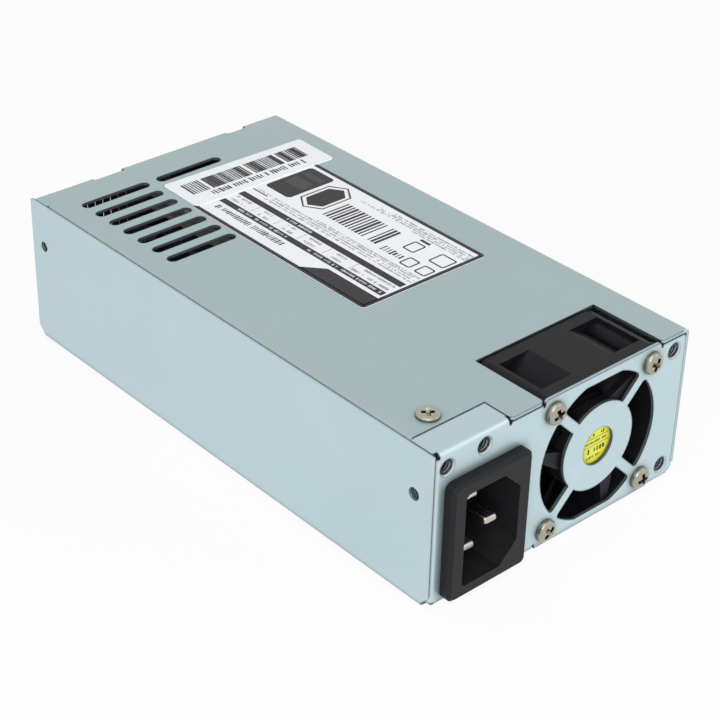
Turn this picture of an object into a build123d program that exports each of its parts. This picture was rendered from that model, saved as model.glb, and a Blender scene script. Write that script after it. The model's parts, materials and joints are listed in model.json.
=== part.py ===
from build123d import *
import os
from math import cos, radians, sin

os.makedirs("parts", exist_ok=True)

# One-unit power supply: a low steel case with a mains inlet and a 40 mm fan in its rear panel.
# Lengths are in millimetres. +X is to the right seen from the rear, +Y runs from the rear panel
# to the cable end and +Z is up. The origin is under the middle of the whole box, on the floor.

# Case
case_width = 81.5
case_length = 150.0
case_height = 40.5
sheet = 0.8
bend_radius = 1.2
seam = 0.15
corner_relief = 2.0
inlet_proud = 3.0
bushing_proud = 1.2

left_x = -case_width / 2
right_x = case_width / 2
rear_y = -(case_length + bushing_proud - inlet_proud) / 2
far_y = rear_y + case_length
inner_left = left_x + sheet
inner_right = right_x - sheet
panel_left = inner_left + seam
panel_right = inner_right - seam
lip_plane_y = far_y - sheet - seam
floor_top = sheet
cover_under = case_height - sheet


def spot(from_left, from_rear):
    """A place on the plan, measured from the outside of the left wall and of the rear panel."""
    return (left_x + from_left, rear_y + from_rear)


def far_spot(from_left, from_far):
    """A place on the plan, measured from the outside of the left wall and of the far panel."""
    return (left_x + from_left, far_y - from_far)


def right_spot(from_right, from_rear):
    """A place on the plan, measured from the outside of the right wall and of the rear panel."""
    return (right_x - from_right, rear_y + from_rear)


def rear_plane(depth=0.0):
    """A plane parallel to the rear panel that looks out of the rear; extrude by a minus to go in."""
    return Plane.XZ.offset(-(rear_y + depth))


# Inlet's flange on the rear panel
inlet_width = 24.0
inlet_height = 31.0
inlet_x = left_x + 16.0
inlet_z = 16.7

# Fan: it fills the height of the case, between the inlet and the right side
fan_clearance = 0.25
fan_size = case_height - 2 * fan_clearance
fan_depth = 20.0
fan_screw_inset = 4.0
fan_pitch = fan_size - 2 * fan_screw_inset
fan_corner = 3.0
fan_offset = 1.475
fan_x = (inlet_x + inlet_width / 2 + panel_right) / 2 - fan_offset
fan_z = case_height / 2
fan_rear_y = rear_y + sheet
fan_wall = 0.8
fan_bore_radius = fan_size / 2 - fan_wall
fan_duct_swell = 1.0
fan_duct_radius = fan_size / 2 + fan_duct_swell
fan_flange = 3.4
fan_boss_radius = 2.9
fan_post = 3.9
fan_hole_radius = 1.75
fan_base_radius = 11.5
fan_base_recess = 0.3
fan_base_thickness = 1.9
fan_channel_start = 1.0
fan_channel_width = 3.8
fan_channel_depth = 2.2
strut_count = 3
strut_first_angle = 66.0
strut_swirl = 20.0
strut_root = 2.6
strut_tip = 0.9
fan_tube_radius = 3.1
fan_tube_end = 14.0
bearing_radius = 2.4
bearing_start = 4.0
bearing_length = 9.0
shaft_radius = 1.0
shaft_clearance = 0.02
shaft_start = 3.0
rotor_radius = 11.3
rotor_wall = 0.9
rotor_crown = 1.3
rotor_start = 3.6
rotor_end = 19.3
rotor_boss_radius = 2.4
rotor_boss_start = 15.0
magnet_inner_radius = 9.1
magnet_start = 4.4
magnet_length = 11.0
stator_radius = 8.7
stator_start = 5.6
stator_length = 6.0
pole_shoe = 1.0
pole_gap = 2.2
pole_width = 2.4
coil_wall = 1.3
coil_gap = 0.3
fan_board_radius = 8.6
fan_board_thickness = 0.8
fan_label_radius = 9.0
blade_count = 7
blade_start = 4.2
blade_end = 18.6
blade_clearance = 0.6
blade_tip_radius = fan_bore_radius - blade_clearance
blade_root_reach = 10.4
blade_root_chord = 15.0
blade_root_pitch = 52.0
blade_tip_chord = 18.0
blade_tip_pitch = 36.0
blade_camber = 1.8
blade_thickness = 1.0
label_thickness = 0.1

# Tapped holes that fasten the case in a chassis, and what surrounds them
tap_radius = 1.4
tap_flare_radius = 2.2
collar_radius = 2.1
collar_height = 1.7
tap_length = sheet + collar_height
tap_margin = 4.25
middle_tap_margin = 3.5
right_tap_x = (fan_x + fan_size / 2 + panel_right) / 2
rear_taps = [
    (left_x + 4.4, case_height - tap_margin),
    (left_x + 15.4, case_height - middle_tap_margin),
    (right_tap_x, case_height - tap_margin),
    (right_tap_x, tap_margin),
]
side_hole_z = 28.6
side_near_hole = (rear_y + 5.2, side_hole_z)
side_far_hole = (far_y - 5.1, side_hole_z)
side_clear_radius = 1.6

# Window in the top and in the floor that the fan stands in
window_lap = 0.6
window_gap = 0.7
window_left = fan_x - fan_size / 2 + window_lap
window_right = fan_x + fan_size / 2 - window_lap
window_end = fan_rear_y + fan_depth + window_gap
window_lip = 0.3

# Grille in the rear panel
grille_overlap = 0.3
grille_radius = fan_bore_radius - grille_overlap
grille_margin = 2.05
grille_flat = fan_size / 2 - grille_margin
grille_hub_radius = 11.5
grille_spoke = 2.6
grille_eye_radius = 4.9
grille_round = 1.0
grille_tight_round = 0.5

# Rear panel's top flange, and the joggled tab under the cover that the top screw holds
flange_end = 8.1
flange_right = left_x + 23.0
notch_gap = 0.25
slit_width = 0.7
slit_bottom = case_height - 1.6
panel_round = 1.1
tab_end = 17.0
tab_left = left_x + 4.5
tab_right = left_x + 16.5
top_screw_place = spot(10.3, 12.4)

# Inlet's body, socket and blades
inlet_corner = 2.0
inlet_edge = 0.8
inlet_body_width = 22.0
inlet_body_height = 28.0
inlet_body_depth = 14.6
inlet_fit = 0.2
inlet_body_corner = 1.5
socket_width = 16.6
socket_height = 24.6
socket_chamfer = 5.0
socket_corner = 1.3
socket_floor = 1.6
pin_width = 4.0
pin_thickness = 2.0
pin_spread = 14.0
pin_offset = 2.0
power_pin_below = 4.5
earth_pin_below = 2.0
tail_length = 4.5
tail_width = 3.2
tail_thickness = 0.8
catch_width = 6.0
catch_offset = 5.5
catch_rise = 0.9
catch_length = 5.0
power_pins = [
    (inlet_x - pin_offset, inlet_z + pin_spread / 2),
    (inlet_x - pin_offset, inlet_z - pin_spread / 2),
]
earth_pin = (inlet_x + pin_offset, inlet_z)
tail_end_y = rear_y + inlet_body_depth + tail_length

# Cover
cover_front_gap = 0.1
cover_lip = 6.0
cover_side_bottom = 3.0
cover_end_bottom = 0.3
far_lip_height = 9.0
side_flange_height = 8.0
slot_width = 3.0
slot_length = 20.5
slot_pitch = 6.0
slot_count = 7
slot_first_y = far_y - 48.3
slot_x = left_x + 18.1
extra_slot_x = left_x + 41.5
end_slot_count = 5
end_slot_first_x = left_x + 35.0
end_slot_bottom = 13.0
end_slot_top = case_height - 5.5
tongue_round = 1.2

# Cable outlet at the far end and its bushing
outlet_left = left_x + 6.3
outlet_width = 22.1
outlet_bottom = 21.0
outlet_reach = 1.9
outlet_step = 12.3
outlet_round = 0.8
shallow_reach = 1.0
notch_left = right_x - 19.1
notch_width = 7.0
notch_bottom = 30.0
bushing_wall = 1.6
bushing_fit = 0.15
bushing_flange = 1.6
bushing_corner = 3.0
bushing_top = case_height - 3.0

# Circuit board
standoff_height = 3.0
standoff_radius = 3.2
standoff_hole_radius = 1.25
film = 0.4
board_thickness = 1.6
board_bottom = floor_top + standoff_height
board_top = board_bottom + board_thickness
board_margin = 2.2
board_start = rear_y + 24.0
board_end = far_y - 4.0
board_left = inner_left + board_margin
board_right = inner_right - board_margin
board_width = board_right - board_left
board_length = board_end - board_start
board_x = (board_left + board_right) / 2
board_y = (board_start + board_end) / 2
board_hole_inset = 5.0
board_hole_radius = 1.6
board_hole_pitch_x = board_width - 2 * board_hole_inset
board_hole_pitch_y = board_length - 2 * board_hole_inset

# Screws
screw_head_radius = 3.0
screw_head_height = 1.9
cover_head_height = 0.9
cross_width = 0.9
cross_span = 3.4
cross_depth = 1.1
fan_shank_radius = 1.7
fan_shank_length = 9.0
cover_shank_radius = 1.3
cover_shank_length = 3.2
cover_thread_radius = 1.35
cover_hole_radius = 1.7
end_screw_places = [(left_x + 15.0, 5.0), (right_x - 11.5, 5.0)]
board_head_radius = 2.6
board_head_height = 1.6
board_shank_radius = 1.2

board_round = 1.0
film_rise = 20.0

# Earth screw and its ring terminal on the floor, behind the inlet
earth_place = spot(24.5, 19.0)
ring_radius = 3.2
ring_thickness = 0.8
ring_tongue = 6.0
ring_tongue_width = 2.6

# Parts on the board: place on the plan, then sizes. Those of the mains side are measured from the
# rear panel and those of the output side from the far panel.
fuse_place = spot(31.6, 35.5)
fuse_length = 20.0
fuse_radius = 2.6
fuse_cap = 5.0
fuse_height = 5.0
clip_sheet = 0.5
choke_round = 2.5
line_choke_size = (spot(16.0, 41.6), 12.0, 5.0, 13.0, 2.5)
boost_choke_size = (right_spot(26.6, 43.0), 11.0, 4.5, 16.0, 2.0)
output_choke_size = (far_spot(18.5, 27.5), 12.0, 5.0, 12.0, 2.0)
line_capacitor_size = (spot(15.0, 59.0), 22.0, 10.0, 17.0)
boost_capacitor_size = (spot(33.0, 61.2), 10.0, 6.0, 13.0)
relay_size = (spot(32.5, 53.8), 10.0, 7.5, 12.0)
disc_places = [right_spot(26.5, 59.0), right_spot(16.5, 59.0)]
disc_radius = 4.0
disc_thickness = 3.0
bulk_place = spot(17.0, 78.4)
bulk_radius = 11.0
bulk_length = 28.0
bulk_groove = 5.0
can_places = [
    far_spot(35.8, 36.5),
    far_spot(35.8, 26.0),
    far_spot(35.8, 15.5),
    far_spot(26.8, 9.4),
    (right_x - 19.5, far_y - 17.0),
]
can_radius = 5.0
can_height = 20.0
foot = 1.5
main_transformer_size = (right_spot(30.0, 78.0), 22.0, 26.0, 26.0, 4.0)
standby_transformer_size = ((right_x - 20.3, far_y - 33.8), 14.0, 16.0, 15.0, 2.5)
heatsink_plate = 2.0
fin_count = 2
fin_thickness = 1.2
fin_pitch = 4.0
fin_reach = 8.0
primary_heatsink_size = (right_spot(6.5, 34.0), 58.0, 30.0)
secondary_heatsink_size = (far_spot(42.2, 41.8), 37.0, 28.0)
primary_face = primary_heatsink_size[0][0] - heatsink_plate / 2
secondary_face = secondary_heatsink_size[0][0] + heatsink_plate / 2
package_bottom = board_top + 4.0
bridge_starts = [rear_y + 36.0]
bridge_size = (22.0, 16.0, 4.6)
switch_starts = [rear_y + 62.5, rear_y + 76.0]
rectifier_starts = [far_y - 25.3, far_y - 15.0]
switch_size = (10.0, 15.5, 4.5)
control_x = right_x - 7.5
control_start = far_y - 41.8
control_length = 29.5
control_height = 24.0
control_chips = 2
posts_place = far_spot(16.5, 9.5)
post_pitch = 2.6
post_columns = 4
post_rows = 2
post_radius = 0.8
post_height = 5.0

# Leads inside the case
power_lead_radius = 1.0
power_landings = [rear_y + 27.5, rear_y + 25.4]
power_lead_bends = [4.0, 2.0]
earth_lead_radius = 0.9
earth_lead_bend = 2.0
fan_lead_radius = 0.7
fan_lead_bend = 3.0
fan_plug_place = (fan_x + 9.2, rear_y + 27.5)
fan_plug_width = 7.4
fan_plug_depth = 5.8
fan_plug_height = 8.0
fan_header_wall = 0.6

# Labels on the cover
rating_width = 40.1
rating_length = 66.2
rating_place = far_spot(49.3, 62.6)
rating_turn = -0.4
serial_width = 45.2
serial_length = 14.9
serial_place = (right_x - 28.6, far_y - 23.8)
serial_turn = -1.6
label_round = 0.9


def fan_plane(depth=0.0):
    """A plane across the fan's axis, counted from the fan's rear face, that looks out of the rear."""
    return Plane(
        origin=(fan_x, fan_rear_y + depth, fan_z), x_dir=(1, 0, 0), z_dir=(0, -1, 0)
    )


# Tray: floor, left wall, rear panel and far lip, bent from one sheet
panel_start = panel_left + bend_radius
panel_end = panel_right - bend_radius
panel_lap = cover_under - seam

with BuildPart() as tray:
    # floor, foot of the left wall and the right flange
    with BuildSketch(rear_plane(corner_relief)):
        with BuildLine():
            FilletPolyline(
                (left_x, case_height / 2),
                (left_x, 0),
                (panel_right, 0),
                (panel_right, side_flange_height),
                radius=bend_radius,
            )
            offset(amount=sheet, side=Side.LEFT)
        make_face()
    extrude(amount=-(lip_plane_y - bend_radius - rear_y - corner_relief))
    # left wall, its lower corners cut off
    with BuildSketch(Plane.YZ.offset(left_x)) as left_wall:
        with Locations(((rear_y + far_y) / 2, (case_height + bend_radius) / 2)):
            Rectangle(case_length, case_height - bend_radius)
        chamfer(left_wall.vertices().group_by(Axis.Y)[0], length=corner_relief - seam)
    extrude(amount=sheet)
    # rear panel
    with BuildSketch(rear_plane()) as panel:
        with BuildLine():
            Polyline(
                (panel_start, bend_radius),
                (window_left, bend_radius),
                (window_left, window_lip),
                (window_right, window_lip),
                (window_right, bend_radius),
                (panel_right, bend_radius),
                (panel_right, panel_lap),
                (window_right, panel_lap),
                (window_right, case_height),
                (window_left, case_height),
                (window_left, panel_lap),
                (flange_right, panel_lap),
                (flange_right, case_height - bend_radius),
                (panel_start, case_height - bend_radius),
                close=True,
            )
        make_face()
        fillet(panel.vertices().group_by(Axis.X)[-1], radius=bend_radius)
    extrude(amount=-sheet)
    # bends from the floor into the rear panel, each side of the window
    for start, end in ((panel_start, window_left), (window_right, panel_end)):
        with BuildSketch(Plane.YZ.offset(start)):
            with BuildLine():
                FilletPolyline(
                    (rear_y + 3 * corner_relief, 0),
                    (rear_y, 0),
                    (rear_y, fan_z),
                    radius=bend_radius,
                )
                offset(amount=sheet, side=Side.RIGHT)
            make_face()
        extrude(amount=end - start)
    # top flange over the inlet
    with BuildSketch(Plane.YZ.offset(panel_start)):
        with BuildLine():
            FilletPolyline(
                (rear_y, case_height - cover_lip),
                (rear_y, case_height),
                (rear_y + flange_end, case_height),
                radius=bend_radius,
            )
            offset(amount=sheet, side=Side.RIGHT)
        make_face()
    extrude(amount=flange_right - panel_start)
    with BuildSketch(Plane.XY.offset(case_height)):
        with Locations((panel_start, rear_y + (bend_radius + flange_end) / 2)):
            Rectangle(2 * bend_radius, flange_end - bend_radius)
    extrude(amount=-sheet)
    # joggled tab under the cover for the top screw
    with BuildSketch(Plane.XY.offset(cover_under)) as tab:
        with Locations(
            ((tab_left + tab_right) / 2, rear_y + (flange_end / 2 + tab_end) / 2)
        ):
            Rectangle(tab_right - tab_left, tab_end - flange_end / 2)
        fillet(tab.vertices().group_by(Axis.Y)[-1], radius=2 * bend_radius)
    extrude(amount=-sheet)
    # left return of the rear panel, inside the left wall
    with BuildSketch(Plane.XY.offset(bend_radius)):
        with BuildLine():
            FilletPolyline(
                (panel_left + 2 * bend_radius, rear_y),
                (panel_left, rear_y),
                (panel_left, rear_y + flange_end),
                radius=bend_radius,
            )
            offset(amount=sheet, side=Side.RIGHT)
        make_face()
    extrude(amount=case_height - 2 * bend_radius)
    # far lip, which the end screws hold
    with BuildSketch(Plane.YZ.offset(panel_left + corner_relief)):
        with BuildLine():
            FilletPolyline(
                (lip_plane_y - 3 * corner_relief, 0),
                (lip_plane_y, 0),
                (lip_plane_y, far_lip_height),
                radius=bend_radius,
            )
            offset(amount=sheet, side=Side.LEFT)
        make_face()
    extrude(amount=panel_right - panel_left - 2 * corner_relief)
    # collars of the tapped holes, pressed inwards
    with BuildSketch(rear_plane(sheet)):
        with Locations(*rear_taps):
            Circle(collar_radius)
    extrude(amount=-collar_height)
    with BuildSketch(Plane.YZ.offset(inner_left)):
        with Locations(side_near_hole, side_far_hole):
            Circle(collar_radius)
    extrude(amount=collar_height + seam)
    # standoffs of the circuit board, pressed up from the floor
    with BuildSketch(Plane.XY.offset(floor_top)):
        with Locations((board_x, board_y)):
            with GridLocations(board_hole_pitch_x, board_hole_pitch_y, 2, 2):
                Circle(standoff_radius)
    extrude(amount=standoff_height, taper=8)
    # window for the fan in the floor, slits beside it and beside the top flange
    with BuildSketch(Plane.XY):
        with Locations((fan_x, (fan_rear_y + window_end) / 2)):
            Rectangle(window_right - window_left, window_end - fan_rear_y)
    extrude(amount=sheet, mode=Mode.SUBTRACT)
    with BuildSketch(rear_plane()):
        slit_height = case_height - slit_bottom
        for slit_x in (flange_right, window_left, window_right):
            with Locations((slit_x, slit_bottom + slit_height)):
                SlotOverall(2 * slit_height, slit_width, rotation=90)
        for slit_x in (window_left, window_right):
            with Locations((slit_x, 0)):
                SlotOverall(2 * slit_height, slit_width, rotation=90)
    extrude(amount=-(sheet + slit_width), mode=Mode.SUBTRACT)
    crowns = (
        tray.edges()
        .filter_by(Axis.Y)
        .filter_by(lambda e: abs(e.center().Z - case_height) < seam)
        .filter_by(lambda e: abs(e.center().X - fan_x) < fan_size / 2)
        .filter_by(lambda e: e.center().Y < fan_rear_y)
    )
    fillet(crowns, radius=panel_round)
    # grille
    with BuildSketch(rear_plane()) as grille:
        with Locations((fan_x, fan_z)):
            Circle(grille_radius)
            Rectangle(3 * grille_radius, 2 * grille_flat, mode=Mode.INTERSECT)
            Circle(grille_hub_radius, mode=Mode.SUBTRACT)
            for tilt in (45, -45):
                Rectangle(3 * grille_radius, grille_spoke, tilt, mode=Mode.SUBTRACT)
        hub = Vertex(fan_x, fan_z, 0)
        rim = (grille_hub_radius + grille_radius) / 2
        inner = [v for v in grille.vertices() if v.distance_to(hub) < rim]
        outer = [v for v in grille.vertices() if v.distance_to(hub) > rim]
        fillet(outer, radius=grille_round)
        fillet(inner, radius=grille_tight_round)
        with Locations((fan_x, fan_z)):
            Circle(grille_eye_radius)
    extrude(amount=-sheet, mode=Mode.SUBTRACT)
    # opening for the inlet, and the fan's screw holes
    with BuildSketch(rear_plane()):
        with Locations((inlet_x, inlet_z)):
            RectangleRounded(
                inlet_body_width + 2 * inlet_fit,
                inlet_body_height + 2 * inlet_fit,
                inlet_body_corner,
            )
        with Locations((fan_x, fan_z)):
            with GridLocations(fan_pitch, fan_pitch, 2, 2):
                Circle(fan_hole_radius)
    extrude(amount=-sheet, mode=Mode.SUBTRACT)
    # tapped holes with flared mouths
    with Locations(rear_plane()):
        with Locations(*rear_taps):
            CounterSinkHole(tap_radius, tap_flare_radius, depth=tap_length)
    with BuildSketch(Plane.YZ.offset(left_x)):
        with Locations(side_far_hole):
            Circle(tap_radius)
        with Locations(side_near_hole):
            Circle(side_clear_radius)
    extrude(amount=sheet, mode=Mode.SUBTRACT)
    with BuildSketch(Plane.YZ.offset(inner_left)):
        with Locations(side_near_hole, side_far_hole):
            Circle(tap_radius)
    extrude(amount=collar_height + seam + sheet, mode=Mode.SUBTRACT)
    # threads for the board's screws, the top screw, the end screws and the earth screw
    with BuildSketch(Plane.XY):
        with Locations((board_x, board_y)):
            with GridLocations(board_hole_pitch_x, board_hole_pitch_y, 2, 2):
                Circle(standoff_hole_radius)
        with Locations(earth_place):
            Circle(standoff_hole_radius)
    extrude(amount=board_bottom, mode=Mode.SUBTRACT)
    with BuildSketch(Plane.XY.offset(cover_under)):
        with Locations(top_screw_place):
            Circle(cover_thread_radius)
    extrude(amount=-sheet, mode=Mode.SUBTRACT)
    with BuildSketch(Plane.XZ.offset(-lip_plane_y)):
        with Locations(*end_screw_places):
            Circle(cover_thread_radius)
    extrude(amount=sheet, mode=Mode.SUBTRACT)
tray.part.label = "tray"
export_step(tray.part, "parts/tray.step")

# Cover: top, right side and far panel, bent from one sheet, with a lip inside the left wall
with BuildPart() as cover:
    cover_start = rear_y + cover_front_gap
    cover_end = far_y - bend_radius
    with BuildSketch(Plane.XZ.offset(-cover_start)):
        with BuildLine():
            FilletPolyline(
                (panel_left, case_height - cover_lip),
                (panel_left, case_height),
                (right_x, case_height),
                (right_x, cover_side_bottom),
                radius=bend_radius,
            )
            offset(amount=sheet, side=Side.RIGHT)
        make_face()
    extrude(amount=-(cover_end - cover_start))
    # far panel, bent down from the top
    with BuildSketch(Plane.YZ.offset(panel_left)):
        with BuildLine():
            FilletPolyline(
                (far_y - 3 * corner_relief, case_height),
                (far_y, case_height),
                (far_y, cover_end_bottom),
                radius=bend_radius,
            )
            offset(amount=sheet, side=Side.RIGHT)
        make_face()
    extrude(amount=panel_right - panel_left)
    # far edge of the right side, up to the far panel
    with BuildSketch(Plane.YZ.offset(inner_right)):
        with Locations((cover_end, (cover_side_bottom + cover_under) / 2)):
            Rectangle(2 * (bend_radius - seam), cover_under - cover_side_bottom - sheet)
    extrude(amount=sheet)
    # notch for the tray's top flange, and the window for the fan
    notch_end = rear_y + flange_end + notch_gap
    with BuildSketch(Plane.XY.offset(case_height)):
        with Locations((left_x, rear_y)):
            Rectangle(
                2 * (flange_right + notch_gap - left_x), 2 * (notch_end - rear_y)
            )
        with Locations((fan_x, (window_end + rear_y) / 2)):
            Rectangle(window_right - window_left, window_end - rear_y)
    extrude(amount=-(cover_lip + sheet), mode=Mode.SUBTRACT)
    front_corners = (
        cover.edges()
        .filter_by(Axis.Z)
        .filter_by(lambda e: abs(e.center().Y - cover_start) < seam)
        .filter_by(lambda e: abs(e.length - sheet) < seam)
    )
    fillet(front_corners, radius=tongue_round)
    # vents over the output side
    vents = [(slot_x, slot_first_y + k * slot_pitch) for k in range(slot_count)]
    vents.append((extra_slot_x, vents[-1][1]))
    with BuildSketch(Plane.XY.offset(case_height)):
        with Locations(*vents):
            SlotOverall(slot_length, slot_width)
    extrude(amount=-sheet, mode=Mode.SUBTRACT)
    # cable outlet and notch, which both run up into the bend
    with BuildSketch(Plane.XY.offset(case_height)) as reach:
        with Locations((outlet_left + outlet_step / 2, far_y)):
            Rectangle(outlet_step, 2 * shallow_reach)
        with Locations((outlet_left + (outlet_step + outlet_width) / 2, far_y)):
            Rectangle(outlet_width - outlet_step, 2 * outlet_reach)
        deep = reach.vertices().group_by(Axis.Y)[0]
        fillet(deep, radius=outlet_round)
    extrude(amount=-(case_height - outlet_bottom), mode=Mode.SUBTRACT)
    with BuildSketch(Plane.XY.offset(case_height)) as side_notch:
        with Locations((notch_left + notch_width / 2, far_y)):
            Rectangle(notch_width, 2 * outlet_reach)
        chamfer(side_notch.vertices().group_by(Axis.Y)[0], length=outlet_reach / 2)
    extrude(amount=-(case_height - notch_bottom), mode=Mode.SUBTRACT)
    # intake slots in the far panel
    end_slot_height = end_slot_top - end_slot_bottom
    with BuildSketch(Plane.XZ.offset(-far_y)):
        for k in range(end_slot_count):
            with Locations(
                (
                    end_slot_first_x + k * slot_pitch,
                    (end_slot_bottom + end_slot_top) / 2,
                )
            ):
                SlotOverall(end_slot_height, slot_width, rotation=90)
        with Locations(*end_screw_places):
            Circle(cover_hole_radius)
    extrude(amount=sheet, mode=Mode.SUBTRACT)
    with BuildSketch(Plane.XY.offset(case_height)):
        with Locations(top_screw_place):
            Circle(cover_hole_radius)
    extrude(amount=-sheet, mode=Mode.SUBTRACT)
cover.part.label = "cover"
export_step(cover.part, "parts/cover.step")

# Cable bushing, clipped into the outlet
bushing_width = outlet_width - 2 * bushing_fit
bushing_height = bushing_top - outlet_bottom - bushing_fit
bushing_x = outlet_left + outlet_width / 2
bushing_z = bushing_top - bushing_height / 2
with BuildPart() as cable_bushing:
    with BuildSketch(Plane.XZ.offset(-far_y)):
        with Locations((bushing_x, bushing_z)):
            RectangleRounded(bushing_width, bushing_height, bushing_corner)
    extrude(amount=bushing_proud, both=True)
    # collars outside and inside the panel
    for face, thickness in (
        (far_y, -bushing_proud),
        (far_y - sheet - seam, bushing_flange),
    ):
        with BuildSketch(Plane.XZ.offset(-face)):
            with Locations((bushing_x, bushing_z)):
                RectangleRounded(
                    bushing_width + bushing_flange,
                    bushing_height + bushing_flange / 2,
                    bushing_corner,
                )
        extrude(amount=thickness)
    with BuildSketch(Plane.XZ.offset(-far_y - bushing_proud)):
        with Locations((bushing_x, bushing_z)):
            RectangleRounded(
                bushing_width - 2 * bushing_wall,
                bushing_height - 2 * bushing_wall,
                bushing_corner - bushing_wall / 2,
            )
    extrude(amount=4 * bushing_flange, mode=Mode.SUBTRACT)
    rims = cable_bushing.edges().group_by(Axis.Y)[-1]
    fillet(rims, radius=bushing_wall / 4)
cable_bushing.part.label = "cable_bushing"
export_step(cable_bushing.part, "parts/cable_bushing.step")

# Fan frame: two square flanges, a round duct, corner posts, three struts and the motor's base
with BuildPart() as fan_frame:
    with BuildSketch(fan_plane()):
        RectangleRounded(fan_size, fan_size, fan_corner)
    extrude(amount=-fan_depth)
    # waist between the flanges: only the duct, the screw bosses and the posts are left
    with BuildSketch(fan_plane(fan_flange)):
        Rectangle(2 * fan_size, 2 * fan_size)
        Circle(fan_duct_radius, mode=Mode.SUBTRACT)
        with GridLocations(fan_pitch, fan_pitch, 2, 2):
            Circle(fan_boss_radius, mode=Mode.SUBTRACT)
        with GridLocations(fan_size - fan_post, fan_size - fan_post, 2, 2):
            Rectangle(fan_post, fan_post, mode=Mode.SUBTRACT)
    extrude(amount=-(fan_depth - 2 * fan_flange), mode=Mode.SUBTRACT)
    with BuildSketch(fan_plane()):
        Circle(fan_bore_radius)
        with GridLocations(fan_pitch, fan_pitch, 2, 2):
            Circle(fan_hole_radius)
    extrude(amount=-fan_depth, mode=Mode.SUBTRACT)
    # channel for the lead along the upper right edge
    with BuildSketch(fan_plane(fan_channel_start)):
        with Locations((fan_size / 2, fan_size / 2)):
            Rectangle(2 * fan_channel_width, 2 * fan_channel_depth)
    extrude(amount=-(fan_depth - fan_channel_start), mode=Mode.SUBTRACT)
    # motor's base and the struts that carry it
    with BuildSketch(fan_plane(fan_base_recess)):
        Circle(fan_base_radius)
    extrude(amount=-fan_base_thickness)
    with BuildSketch(fan_plane(fan_base_recess)):
        for k in range(strut_count):
            near = strut_first_angle + k * 360 / strut_count
            far = near - strut_swirl
            reach = (fan_bore_radius + fan_duct_radius) / 2
            hub_end = Vector(cos(radians(near)), sin(radians(near))) * (
                fan_base_radius - strut_root
            )
            duct_end = Vector(cos(radians(far)), sin(radians(far))) * reach
            across = (duct_end - hub_end).normalized().rotate(Axis.Z, 90)
            with BuildLine():
                Polyline(
                    hub_end + across * strut_root,
                    hub_end - across * strut_root,
                    duct_end - across * strut_tip,
                    duct_end + across * strut_tip,
                    close=True,
                )
            make_face()
        Rectangle(fan_size, fan_size, mode=Mode.INTERSECT)
    extrude(amount=-fan_base_thickness)
    # tube for the bearing
    with BuildSketch(fan_plane(fan_base_recess)):
        Circle(fan_tube_radius)
    extrude(amount=-(fan_tube_end - fan_base_recess))
    with BuildSketch(fan_plane(fan_base_recess + fan_base_thickness / 2)):
        Circle(bearing_radius)
    extrude(amount=-fan_tube_end, mode=Mode.SUBTRACT)
fan_frame.part.label = "fan_frame"
export_step(fan_frame.part, "parts/fan_frame.step")

# Sleeve bearing in the tube
with BuildPart() as fan_bearing:
    with BuildSketch(fan_plane(bearing_start)):
        Circle(bearing_radius)
        Circle(shaft_radius + shaft_clearance, mode=Mode.SUBTRACT)
    extrude(amount=-bearing_length)
fan_bearing.part.label = "fan_bearing"
export_step(fan_bearing.part, "parts/fan_bearing.step")

# Shaft, fixed in the rotor's end wall
with BuildPart() as fan_shaft:
    with BuildSketch(fan_plane(shaft_start)):
        Circle(shaft_radius)
    extrude(amount=-(rotor_end - shaft_start))
    chamfer(fan_shaft.edges().group_by(Axis.Y)[0], length=shaft_radius / 4)
fan_shaft.part.label = "fan_shaft"
export_step(fan_shaft.part, "parts/fan_shaft.step")

# Rotor: a cup with twisted blades, open towards the rear
blade_middle = (blade_start + blade_end) / 2
blade_centre = Vector(fan_x, fan_rear_y + blade_middle, fan_z)
with BuildPart() as fan_rotor:
    for k in range(blade_count):
        turn = radians(k * 360 / blade_count)
        radial = Vector(cos(turn), 0, sin(turn))
        tangent = Vector(-sin(turn), 0, cos(turn))
        for reach, chord, camber, pitch in (
            (blade_root_reach, blade_root_chord, blade_camber, blade_root_pitch),
            (fan_bore_radius, blade_tip_chord, blade_camber, blade_tip_pitch),
        ):
            lean = radians(pitch)
            along = Vector(0, 1, 0) * sin(lean) + tangent * cos(lean)
            section = Plane(blade_centre + radial * reach, x_dir=along, z_dir=radial)
            half = chord / 2
            with BuildSketch(section):
                with BuildLine():
                    ThreePointArc(
                        (-half, 0), (0, camber + blade_thickness / 2), (half, 0)
                    )
                    ThreePointArc(
                        (half, 0), (0, camber - blade_thickness / 2), (-half, 0)
                    )
                make_face()
        loft()
    with BuildSketch(fan_plane(blade_start)):
        Circle(blade_tip_radius)
    extrude(amount=-(blade_end - blade_start), mode=Mode.INTERSECT)
    with BuildSketch(fan_plane(rotor_start)):
        Circle(rotor_radius)
    extrude(amount=-(rotor_end - rotor_start))
    crown = fan_rotor.edges().filter_by(GeomType.CIRCLE).group_by(Axis.Y)[-1]
    fillet(crown, radius=rotor_wall)
    with BuildSketch(fan_plane(rotor_start)):
        Circle(rotor_radius - rotor_wall)
    extrude(amount=-(rotor_end - rotor_crown - rotor_start), mode=Mode.SUBTRACT)
    with BuildSketch(fan_plane(rotor_boss_start)):
        Circle(rotor_boss_radius)
    extrude(amount=-(rotor_end - rotor_boss_start))
    with BuildSketch(fan_plane(rotor_boss_start)):
        Circle(shaft_radius)
    extrude(amount=-(rotor_end - rotor_boss_start), mode=Mode.SUBTRACT)
fan_rotor.part.label = "fan_rotor"
export_step(fan_rotor.part, "parts/fan_rotor.step")

# Magnet ring pressed into the rotor
with BuildPart() as fan_magnet:
    with BuildSketch(fan_plane(magnet_start)):
        Circle(rotor_radius - rotor_wall)
        Circle(magnet_inner_radius, mode=Mode.SUBTRACT)
    extrude(amount=-magnet_length)
fan_magnet.part.label = "fan_magnet"
export_step(fan_magnet.part, "parts/fan_magnet.step")

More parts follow.
